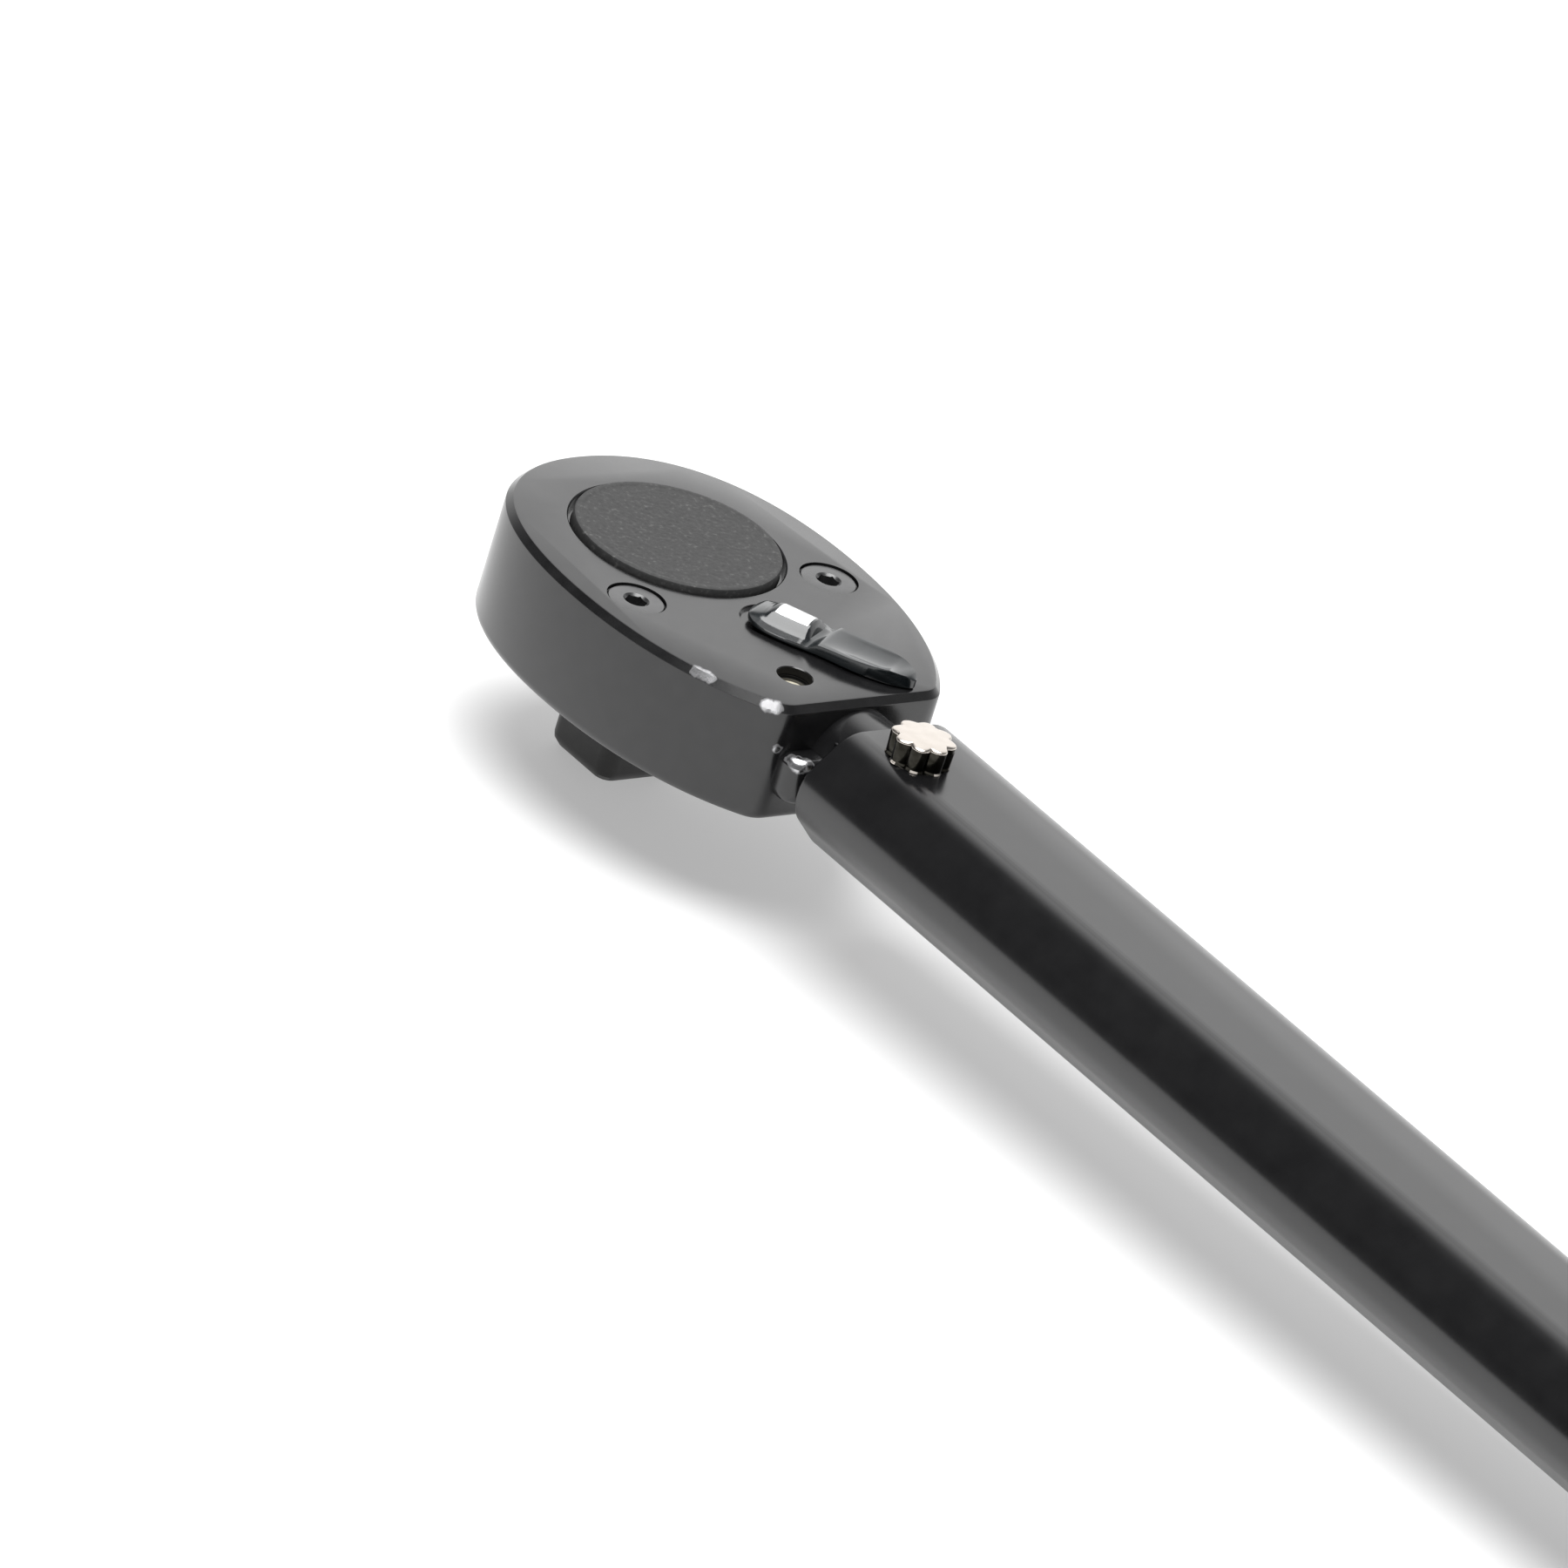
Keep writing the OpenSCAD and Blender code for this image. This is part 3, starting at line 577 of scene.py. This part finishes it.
def make_head():
    """Shell, ledge, neck and shank in one piece, with every bore, seat and cavity cut out of it."""
    head = join(head_shell(head_outline()), [make_ledge(), make_neck(), make_shank()])
    wheel_bore, wheel_space, lever_bore, bush_bore = 14.3, 16.1, 2.65, 5.2
    cap_r, lever_r = CAP_HI[0] + 0.6, 4.6
    screw_shank, screw_head = 2.0, 4.05
    post_bore, post_mouth = 2.1, 2.4
    cap_recess = [(cap_r, Z1 - 1.2), (cap_r, Z1 - 0.2), (cap_r + 0.2, Z1), (cap_r + 0.7, Z1 + 0.5)]
    lever_recess = [(lever_r - 0.25, Z1 - 0.5), (lever_r, Z1 - 0.25), (lever_r, Z1 - 0.1),
                    (lever_r + 0.15, Z1 + 0.05)]
    screw_seat = [(screw_shank, CAVITY_Z1 - 0.4), (screw_shank, Z1 - 2), (screw_head, Z1 - 0.6),
                  (screw_head, Z1 + 0.05)]
    tools = [
        turned("wheel_bore", [(wheel_bore, CAVITY_Z1 - 0.1), (wheel_bore, Z1 + 1)]),
        turned("cap_recess", cap_recess, n=160),
        turned("wheel_space", [(wheel_space, 0), (wheel_space, CAVITY_Z1)], n=128),
        drill(LEVER_X, 0, CAVITY_Z1 - 0.4, Z1, lever_bore),
        turned("lever_recess", lever_recess, LEVER_X, 0, 128),
        turned("bush_seat", [(bush_bore, 0), (bush_bore, Z1 + 1)], *PIVOT),
        prism("chamber", CHAMBER, 1.5, CAVITY_Z1),
        prism("cover_seat", cover_plan(), 0, COVER_Z1),
    ]
    for side in (-1, 1):
        tools.append(turned("screw_seat", screw_seat, PAWL_PIVOT[0], side * PAWL_PIVOT[1], 96))
        x, y = POST[0], side * POST[1]
        tools.append(drill(x, y, COVER_Z1 + 1, POST_MOUTH_Z, post_bore))
        tools.append(drill(x, y, POST_MOUTH_Z, Z1, post_mouth, 0.12))
    return tidy(cut(head, tools), CRISP)


def cover_plan():
    """Plan of the bottom cover: the head's outline drawn in a little and cut square behind."""
    centre, scale, rear = [9, 0], 0.93, 33
    pts = (head_outline() - centre) * scale + centre
    pts[:, 0] = np.minimum(pts[:, 0], rear)
    keep = [pts[0]]
    for p in pts[1:]:
        if np.linalg.norm(p - keep[-1]) > 1e-4:
            keep.append(p)
    return np.array(keep)


def in_shaded_post_holes(centre, normal):
    """The small deep holes get a darker, duller black on their walls: painted shade in the recesses."""
    reach = 2.6
    beside = abs(centre[0] - POST[0]) < reach and abs(abs(centre[1]) - POST[1]) < reach
    return beside and Z1 - 5 < centre[2] < Z1 - 0.15


# The head's bare spots are painted highlights on the chamfer and the ledge, partly wear.
dress(make_head(), wear_and_glint_spots(head_black, WEAR_AND_GLINT_SPOTS), "head", ["head_housing"],
      hole_shade_black, in_shaded_post_holes)


# ---------------------------------------------------------------- cover and screws

SCREW_CIRCLE_R = 18.3
COVER_SCREWS = [(SCREW_CIRCLE_R * math.cos(math.radians(a)), SCREW_CIRCLE_R * math.sin(math.radians(a)))
                for a in (135, 225)] + [(29.8, 0)]


def make_cover():
    """Bottom plate with a softened rim, its bores and its countersunk holes."""
    gap, above = 0.03, 6
    levels = [(0.45, Z0), (0.12, Z0 + 0.12), (gap, Z0 + 0.4), (gap, COVER_Z1)]
    cover = stepped("cover_plate", cover_plan(), levels, CRISP)
    journal = [(13.3, 0), (13.3, Z0), (12.95, Z0 + 0.35), (12.95, above)]
    pivot_hole = [(2.0, 0), (2.0, above)]
    countersink = [(2.12, 0), (2.12, Z0), (1.25, Z0 + 1.2), (1.25, above)]
    tools = [turned("journal", journal, n=160)]
    for side in (-1, 1):
        tools.append(turned("pivot_hole", pivot_hole, PAWL_PIVOT[0], side * PAWL_PIVOT[1], 48))
    for x, y in COVER_SCREWS:
        tools.append(turned("countersink", countersink, x, y, 48))
    return tidy(cut(cover, tools), CRISP)


dress(make_cover(), head_black, "head", ["bottom_cover"])


def make_cover_screws():
    """Small countersunk screws with a hexagon socket, heads down."""
    length = 7
    profile = [(0.01, Z0), (1.85, Z0), (2.05, Z0 + 0.08), (1.25, Z0 + 1.17), (1.25, Z0 + 6.8),
               (1.05, Z0 + length), (0.01, Z0 + length)]
    screws = []
    for x, y in COVER_SCREWS:
        screw = turned("cover_screw_set", profile, x, y, 48)
        cone = turned("cone", [(1.15, Z0 - 0.1), (0.85, Z0 + 0.15)], x, y, 32)
        screws.append(cut(screw, [hexagon(0.9, x, y, Z0 - 1, Z0 + 1), cone]))
    return tidy(join(screws[0], screws[1:]), 30)


dress(make_cover_screws(), screw_black, "head", ["cover_screws"])


def make_pawl_screws():
    """Countersunk screws whose plain shanks carry the pawls."""
    top, shank_r, head_r = Z1 - 0.2, 1.98, 3.84
    profile = [(0.01, Z0), (1.75, Z0), (shank_r, Z0 + 0.25), (shank_r, Z1 - 2.05), (head_r, top - 0.5),
               (head_r, top - 0.2), (head_r - 0.1, top - 0.05), (3.5, top), (0.01, top)]
    screws = []
    for side in (-1, 1):
        x, y = PAWL_PIVOT[0], side * PAWL_PIVOT[1]
        screw = turned("pawl_screw_pair", profile, x, y, 96)
        cone = turned("cone", [(1.45, top - 0.3), (1.95, top + 0.15)], x, y, 48)
        screws.append(cut(screw, [hexagon(1.6, x, y, top - 1.6, top + 1), cone]))
    return tidy(join(screws[0], screws[1:]), 30)


dress(make_pawl_screws(), screw_black, "head", ["pawl_screws"])


def make_posts():
    """Turned pins with a domed top, low in their holes."""
    top, dome_r, dome_h = POST_MOUTH_Z, 6.3, 0.35
    dome = [(x, top - dome_h + z) for x, z in arc(0, dome_h - dome_r, dome_r, 71, 90, 6)]
    profile = [(1.85, POST_Z0), (2.05, POST_Z0 + 0.2), (2.08, top - 0.5)] + dome
    pins = [turned("spring_post_pair", profile, POST[0], side * POST[1], 64, 50) for side in (-1, 1)]
    return tidy(join(pins[0], pins[1:]), 50)


dress(make_posts(), pale_brass, "head", ["spring_posts"])


# ---------------------------------------------------------------- drive

SPIGOT_R = 6.0


def make_cap():
    """Textured disc: a smooth raised rim round a rough field with real relief."""
    r, top, spigot = CAP_HI[0], CAP_HI[2], CAP_LO[2] + 2
    field = r - 1.0
    relief, grain = 0.055, 1.7
    profile = [(SPIGOT_R, CAP_LO[2]), (SPIGOT_R, spigot), (r, spigot), (r, top - 0.35),
               (r - 0.12, top - 0.1), (r - 0.35, top), (field + 0.1, top), (field - 0.05, top - 0.06)]
    steps, sides = 60, 220
    rings = [circle(rr, z, n=sides) for rr, z in profile]
    for i in range(steps):
        rr = field * (1 - (i + 1) / (steps + 1)) ** 0.9
        rings.append([
            (x, y, z + relief * noise.fractal(Vector((x * grain, y * grain, 3.1)), 0.6, 2.1, 5))
            for x, y, z in circle(rr, top - 0.09, n=sides)
        ])
    return loft("drive_cap_disc", rings, 40)


dress(make_cap(), cap_texture, "drive", ["drive_cap"])


def make_square():
    """Drive square with rounded corners and a lead-in at its tip."""
    tip = WHEEL_LO[2]

    def ring(half, corner, z):
        pts = rounded([(half, half), (-half, half), (-half, -half), (half, -half)], [corner] * 4, 10)
        return [(x, y, z) for x, y in pts]

    levels = [(5.3, 1.8, tip), (5.6, 1.9, tip + 0.1), (6.2, 2.1, tip + 0.9), (DRIVE_HALF, 2.2, tip + 1.6),
              (DRIVE_HALF, 2.2, -0.5), (DRIVE_HALF + 0.15, 2.3, -0.12), (DRIVE_HALF + 0.3, 2.4, 1.0)]
    return loft("drive_gear_and_square", [ring(*level) for level in levels], 28)


def make_wheel():
    """Toothed wheel with its journals, its collar and the square in one piece."""
    teeth, tip_r, root_r = 36, 15.8, 14.6
    outline = []
    for i in range(teeth):
        for turn, r in ((-4, tip_r), (-1.2, root_r), (1.2, root_r), (4, tip_r)):
            a = math.radians(360 / teeth * (i + 0.5) + turn)
            outline.append((r * math.cos(a), r * math.sin(a)))
    gear = prism("gear", outline, COVER_Z1 + 0.4, CAVITY_Z1 - 0.2)
    collar, lower, upper = 10.5, 12.85, 14.2
    profile = [(collar - 0.3, 0), (collar - 0.05, 0.06), (collar, 0.25), (collar, Z0),
               (lower - 0.25, Z0), (lower, Z0 + 0.25), (lower, COVER_Z1 + 0.9),
               (upper, COVER_Z1 + 1.5), (upper, Z1 - 1.2)]
    wheel = join(make_square(), [turned("journals", profile, n=160), gear])
    ball_r = (BALL_HI[2] - BALL_LO[2]) / 2 + 0.05
    ball_z = (BALL_HI[2] + BALL_LO[2]) / 2
    mouth = -DRIVE_HALF
    levels = [(-8, ball_r + 0.3), (mouth, ball_r + 0.15), (mouth + 0.2, ball_r), (1.5, ball_r)]
    bore = loft("ball_bore", [upright_circle(r, x, ball_z, 48) for x, r in levels])
    spigot = turned("spigot", [(SPIGOT_R, Z1 - 3.2), (SPIGOT_R, Z1)], n=64)
    return tidy(cut(wheel, [bore, spigot]), 28)


dress(make_wheel(), square_black, "drive", ["drive_wheel"])
dress(ball("square_detent_ball", BALL_LO, BALL_HI),
      ground_steel, "square_ball", ["detent_ball"])


# ---------------------------------------------------------------- tube

def section_ring(x, grow, radius):
    """The tube's octagonal section across X, grown by a margin, with rounded edges."""
    w, h = TUBE_HALF_W + grow, TUBE_HALF_H + grow
    c = TUBE_LEG + grow * (2 - math.sqrt(2))
    corners = [(w, h - c), (w - c, h), (c - w, h), (-w, h - c),
               (-w, c - h), (c - w, -h), (w - c, -h), (w, c - h)]
    return [(x, y, MID_Z + z) for y, z in rounded(corners, [radius] * 8)]


def make_tube():
    """Hollow tube whose mouth has a rounded lip, drilled through for the pin."""
    x0, x1 = TUBE_LO[0], TUBE_HI[0]
    wall = -TUBE_WALL
    outer, inner, lip, pin_bore = 5.2, 1.8, 0.8, 4.0
    mouth = [(x0 + lip - lip * math.sin(a), lip * math.cos(a) - lip)
             for a in np.radians([0, 22, 45, 68, 90])]
    rings = [section_ring(x, d, outer) for x, d in mouth[::-1]]
    rings += [section_ring(x1, 0, outer), section_ring(x1, wall, inner),
              section_ring(x0 + 0.2, wall, inner), section_ring(x0, wall + 0.2, inner)]
    tube = loft("tube", rings, 20, closed=True)
    return tidy(cut(tube, [turned("pin_bore", [(pin_bore, -3), (pin_bore, 22)], *PIVOT)]), 20)


dress(make_tube(), satin_black, "handle", ["body_tube"])


# ---------------------------------------------------------------- pivot pin

def pin_wave(a):
    """1 on a lobe's crest and 0 in a flute."""
    return 0.5 + 0.5 * math.cos(PIN_LOBES * a)


def make_pin():
    """Fluted head with a low crown, on a plain shank."""
    r, shank_r, foot, seat = PIN_HI[0] - PIVOT[0], 3.95, PIN_LO[2], Z1
    flute, crown = 0.8, 0.24
    top, rim = PIN_HI[2], PIN_HI[2] - 0.55

    def ring(radius, depth, z):
        pts = []
        for a in round_angles(160):
            rr = radius - depth * (1 - pin_wave(a) ** 0.5)
            pts.append((PIVOT[0] + rr * math.cos(a), PIVOT[1] + rr * math.sin(a), z))
        return pts

    levels = [(shank_r - 0.35, 0, foot), (shank_r, 0, foot + 0.35), (shank_r, 0, seat)]
    levels += [(r - drawn, flute, seat + up)
               for drawn, up in ((0, 0.02), (0, 0.16), (0.12, 0.34), (0.1, 0.5))]
    levels += [(r - drawn, flute, rim + up) for drawn, up in ((0, 0), (0.05, 0.16), (0.2, 0.26))]
    levels += [(r * f, flute * f ** 4, top - crown * f ** 2)
               for f in (0.88, 0.76, 0.62, 0.46, 0.3, 0.12, 0.003)]
    return loft("pivot_pin_fluted", [ring(*level) for level in levels], 50)


def on_shaded_flutes(centre, normal):
    """The sides, which get a darker nickel as painted shade, except small spots at the foot of each lobe
    that keep the polished nickel as painted glints.
    """
    angle = math.atan2(centre[1] - PIVOT[1], centre[0] - PIVOT[0])
    foot = centre[2] < Z1 + 0.34 and pin_wave(angle) > 0.8
    return Z1 - 0.1 < centre[2] < PIN_HI[2] - 0.56 and not foot


# The pin's top keeps the polished nickel; its sides are a dark nickel as painted shade, with painted glints
# at the lobes' feet.
dress(make_pin(), polished_nickel, "handle", ["pivot_pin"], shaded_nickel, on_shaded_flutes)


# ---------------------------------------------------------------- lever

LEVER_BACK, LEVER_TIP = -3.4, 21


def lever_stations():
    """Distance along the lever and half width: a broad hub, a waist and a blade that runs to a point."""
    hub, blade = 4.7, 3.7
    curves = [[(LEVER_BACK, 0), (LEVER_BACK, 3), (-1.5, hub), (1.5, hub)],
              [(1.5, hub), (6, hub), (6, blade), (12, blade)],
              [(12, blade), (16, blade), (LEVER_TIP, 1.6), (LEVER_TIP, 0)]]
    steps = 22
    points = [bezier(curve, i / steps) for curve in curves for i in range(steps)]
    return points + [np.array([LEVER_TIP, 0.0])]


def lever_section(u, w):
    """Half-round ridge over the pivot, a notch behind it, then a dished blade with a raised tip."""
    rim = np.interp(u, [LEVER_BACK, -2.6, -1, 5.7, 6.3, 7.1, 7.8, 12, 18, 20, LEVER_TIP],
                    [0.6, 1.0, 1.35, 1.4, 0.95, 0.95, 1.45, 1.6, 1.95, 1.7, 1.0])
    rise = np.interp(u, [LEVER_BACK, -1.4, -0.7, -0.2, 5.6, 6.1, 7.2, 8.2, 12, 17, 19.4, LEVER_TIP],
                     [0.05, 0.35, 0.55, 1.2, 1.25, 0, -0.05, -0.1, -0.45, -0.5, 0.05, 0.1])
    fall = np.interp(u, [LEVER_BACK, 5.7, 8], [0.36, 0.36, 0])
    core = min(w, 3.0)
    top = []
    for t in np.linspace(-1, 1, 25):
        y = w * math.sin(t * math.pi / 2)
        z = rim + rise * max(0, 1 - (y / core) ** 2) - fall * max(0, abs(y) - 2.4)
        top.append((y, max(z, 0.4)))
    edge = top[0][1]
    side = [(-0.96 * w, 0), (-w, 0.15), (-w, edge - 0.12)]
    return side + [(0.985 * y, z) for y, z in top] + [(-y, z) for y, z in side[::-1]]


def make_lever():
    """Lever and its grooved shaft in one piece."""
    c, s = math.cos(LEVER_ANGLE), math.sin(LEVER_ANGLE)
    rings = []
    for u, w in lever_stations():
        section = lever_section(u, max(w, 0.2))
        rings.append([(LEVER_X + u * c - y * s, u * s + y * c, LEVER_Z0 + z) for y, z in section])
    blade = loft("lever_blade", rings, 40)
    groove_z = (LEVER_BALL_LO[2] + LEVER_BALL_HI[2]) / 2
    reach = (LEVER_BALL_LO[0] + LEVER_BALL_HI[0]) / 2 - LEVER_X
    groove = [(reach - x, groove_z + z) for x, z in arc(0, 0, 1.6, -48, 48, 12)]
    thin, thick = 1.5, 2.6
    profile = [(thin - 0.1, CAM_Z0), (thin, CAM_Z0 + 0.1), (thin, CAVITY_Z1), (thick, CAVITY_Z1)]
    profile += groove + [(thick, LEVER_Z0), (thick, LEVER_Z0 + 0.3)]
    return tidy(join(blade, [turned("shaft", profile, LEVER_X, 0, 96)]), 40)


def on_ridge_highlight(centre, normal):
    """The top of the ridge, bare polished steel that stands in for the ridge's white highlight: a painted
    highlight, partly wear.
    """
    c, s = math.cos(LEVER_ANGLE), math.sin(LEVER_ANGLE)
    along = (centre[0] - LEVER_X) * c + centre[1] * s
    across = centre[1] * c - (centre[0] - LEVER_X) * s
    on_top = centre[2] > LEVER_Z0 + 1.6 and normal[2] > 0.6
    return 0.2 < along < 5.2 and abs(across) < 1.7 and on_top


dress(make_lever(), lever_black, "lever", ["reversing_lever"], worn_highlight_steel, on_ridge_highlight)
dress(ball("lever_detent_ball", LEVER_BALL_LO, LEVER_BALL_HI),
      ground_steel, "lever_detent", ["lever_ball"])


# ---------------------------------------------------------------- grip

def make_grip():
    """Rubber sleeve with a row of grooves round it."""
    x0, x1 = GRIP_LO[0], GRIP_HI[0]
    low, high = GRIP_T - 0.7, GRIP_T
    radius, ends, pitch = 4.0, 8, 8
    groove = [(0.1, high - 0.25), (0.5, low + 0.08), (1.0, low), (3.0, low), (3.5, low + 0.08),
              (3.9, high - 0.25), (4.4, high - 0.04), (5, high), (7, high), (7.6, high - 0.04)]
    levels = [(x0, 0.05), (x0, high - 0.6), (x0 + 0.2, high - 0.2), (x0 + 0.7, high),
              (x0 + ends - 0.6, high)]
    x = x0 + ends
    while x + pitch < x1 - ends + 1:
        levels += [(x + step, grow) for step, grow in groove]
        x += pitch
    levels += [(x1 - 0.7, high), (x1 - 0.2, high - 0.2), (x1, high - 0.6), (x1, 0.05)]
    return loft("grip", [section_ring(*level, radius) for level in levels], 30, closed=True)


dress(make_grip(), grip_rubber, "handle", ["grip_sleeve"])


def make_ring():
    """Bright collar in front of the grip."""
    x0, x1 = RING_LO[0], RING_HI[0]
    g, gap, bevel, radius = RING_HI[1] - TUBE_HALF_W, 0.02, 0.3, 3.4
    levels = [(x0, gap), (x0, g - bevel), (x0 + bevel, g), (x1 - bevel, g), (x1, g - bevel), (x1, gap)]
    return loft("front_ring", [section_ring(*level, radius) for level in levels], 25, closed=True)


dress(make_ring(), polished_nickel, "handle", ["grip_ring"])


def make_end():
    """Plug in the tube's end with a cap as thick as the grip; its edges tighten as the section shrinks."""
    x0, x1 = END_LO[0], END_HI[0]
    joint = x1 - 7
    g = GRIP_T
    plug, radius, least = -1.85, 3.6, 0.6
    levels = [(x0, plug - 0.35), (x0 + 0.5, plug), (joint, plug), (joint, g - 0.3), (joint + 0.3, g),
              (x1 - 2.2, g), (x1 - 1.2, g - 0.25), (x1 - 0.4, g - 0.9), (x1, g - 2.0), (x1, g - 3.2),
              (x1 - 0.5, g - 3.6), (x1 - 0.5, -5.5)]
    rings = [section_ring(x, grow, max(least, radius + min(0, grow))) for x, grow in levels]
    return loft("end_plug", rings, 30)


dress(make_end(), grip_rubber, "handle", ["end_cap"])


# ---------------------------------------------------------------- CAD pieces shown as they are, and springs

FINISHES = {
    ground_steel: ["pawl_left", "pawl_right", "lever_cam", "pivot_nut", "plunger_guide", "toggle_block",
                   "plunger", "spring_seat", "adjusting_nut", "adjusting_screw", "lock_nut",
                   "end_bushing", "bushing_pins"],
    pale_brass: ["pivot_bushing", "pivot_spacer"],
}
for mat, names in FINISHES.items():
    for name in names:
        paint(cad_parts[name], mat)

# Node, piece, body, wire, turns, part of the length, the joint that presses it, that joint's travel and
# the place along the spring that stays put. The main spring is pressed from both ends, so it is two.
SPRINGS = [
    ("main_spring", "main_spring_front_coil", "handle", 2.6, 26, (0, 0.5), "head_click", 1.1, 0.5),
    ("main_spring", "main_spring_rear_coil", "handle", 2.6, 26, (0.5, 1), "setting_screw_turn", 3.75, 0.5),
    ("pawl_spring_left", "left_pawl_coil", "head", 0.7, 5, (0, 1), None, 0, 0),
    ("pawl_spring_right", "right_pawl_coil", "head", 0.7, 5, (0, 1), "lever_throw", 1.0, 1),
    ("lever_ball_spring", "lever_detent_coil", "head", 0.4, 5, (0, 1), "lever_ball_press", 0.5, 1),
    ("detent_spring", "square_detent_coil", "drive", 0.6, 4, (0, 1), "square_ball_press", 0.7, 1),
]
for name, piece, body, wire, turns, part, joint, travel, fixed in SPRINGS:
    lo, hi = box(name)
    coil = dress(spring(piece, lo, hi, wire, turns, part), spring_wire, body, [name])
    if joint:
        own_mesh(coil)


# ---------------------------------------------------------------- stage, light and camera

def make_floor():
    """The bar rests on the square's tip and the lower edge of its end, so the floor leans a little."""
    tip_z, end_x, end_z = WHEEL_LO[2], END_HI[0], END_LO[2]
    slope = (end_z - tip_z) / end_x
    reach, gap = 6000, 0.05
    corners = [(-reach, -reach), (reach, -reach), (reach, reach), (-reach, reach)]
    verts = [(x, y, tip_z - gap + slope * x) for x, y in corners]
    floor = mesh_object("floor", verts, [(0, 1, 2, 3)])
    mat, _, shader = material("floor_white")
    shader.inputs["Base Color"].default_value = (0.56, 0.56, 0.56, 1)
    shader.inputs["Roughness"].default_value = 1.0
    shader.inputs["Specular IOR Level"].default_value = 0.0
    shader.inputs["Emission Color"].default_value = (1, 1, 1, 1)
    shader.inputs["Emission Strength"].default_value = 0.36
    floor.data.materials.append(mat)
    floor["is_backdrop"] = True


make_floor()


def lobe(tree, direction, centre, start, stop):
    """Grows from 0 to 1 as the direction nears a centre, between two cosines."""
    dot = node(tree, "ShaderNodeVectorMath", operation="DOT_PRODUCT")
    dot.inputs[1].default_value = Vector(centre).normalized()
    tree.links.new(direction, dot.inputs[0])
    return ramp(tree, dot.outputs["Value"], [(start, (0, 0, 0)), (stop, (1, 1, 1))]).outputs["Color"]


def make_world():
    """White studio: pale at the horizon, dark above, a bright wall and a black flag beside the nose."""
    world = bpy.data.worlds.new("studio")
    bpy.context.scene.world = world
    world.use_nodes = True
    tree = world.node_tree
    back = tree.nodes["Background"]
    coords = node(tree, "ShaderNodeTexCoord")
    direction = coords.outputs["Generated"]
    split = node(tree, "ShaderNodeSeparateXYZ")
    tree.links.new(direction, split.inputs["Vector"])
    greys = [(0.0, 1.0), (0.12, 0.9), (0.4, 0.25), (0.7, 0.05)]
    horizon = ramp(tree, split.outputs["Z"], [(height, (grey,) * 3) for height, grey in greys])
    flag = lobe(tree, direction, (-0.66, -0.66, 0.36), 0.72, 0.90)
    wall = lobe(tree, direction, (-0.62, 0.66, 0.42), 0.70, 0.92)
    flag_cover, ambient, wall_strength = 0.93, 0.1, 1.6
    open_part = math_node(tree, "SUBTRACT", 1.0, math_node(tree, "MULTIPLY", flag, flag_cover))
    sky = math_node(tree, "MULTIPLY", horizon.outputs["Color"], open_part)
    base = math_node(tree, "ADD", sky, ambient)
    strength = math_node(tree, "MAXIMUM", base, math_node(tree, "MULTIPLY", wall, wall_strength))
    back.inputs["Color"].default_value = (1, 1, 1, 1)
    tree.links.new(strength, back.inputs["Strength"])


make_world()


def make_light():
    """One large soft disc overhead, aimed at the drive's axis."""
    data = bpy.data.lights.new("top_soft", "AREA")
    data.shape = "DISK"
    data.size = 2.1
    data.energy = 75
    light = bpy.data.objects.new("top_soft", data)
    place = Vector((-0.02, -0.2, 2.0))
    light.location = place
    light.rotation_mode = "QUATERNION"
    light.rotation_quaternion = (-place).to_track_quat("-Z", "Y")
    bpy.context.scene.collection.objects.link(light)


make_light()


def make_camera():
    """Long lens from above and beside the handle, rolled so the bar runs down to the right."""
    azimuth, elevation, roll = math.radians(44.61), math.radians(25.875), math.radians(17.409)
    distance = 2742
    right_shift, up_shift = 13.96, -31.9
    back = Vector((math.sin(azimuth) * math.cos(elevation), -math.cos(azimuth) * math.cos(elevation),
                   math.sin(elevation)))
    right = Vector((math.cos(azimuth), math.sin(azimuth), 0))
    up = back.cross(right)
    level_right, level_up = right, up
    right = math.cos(roll) * level_right + math.sin(roll) * level_up
    up = -math.sin(roll) * level_right + math.cos(roll) * level_up
    data = bpy.data.cameras.new("camera")
    data.lens = 481.04
    data.sensor_width = 36
    data.clip_start, data.clip_end = 0.1, 50
    camera = bpy.data.objects.new("camera", data)
    place = Vector((0, 0, Z1)) + back * distance + right * right_shift + up * up_shift
    turn = Matrix((right, up, back)).transposed()
    camera.matrix_world = Matrix.Translation(place * MM) @ turn.to_4x4()
    bpy.context.scene.collection.objects.link(camera)
    bpy.context.scene.camera = camera


make_camera()
bpy.context.scene.view_settings.view_transform = "Standard"

lo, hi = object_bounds()
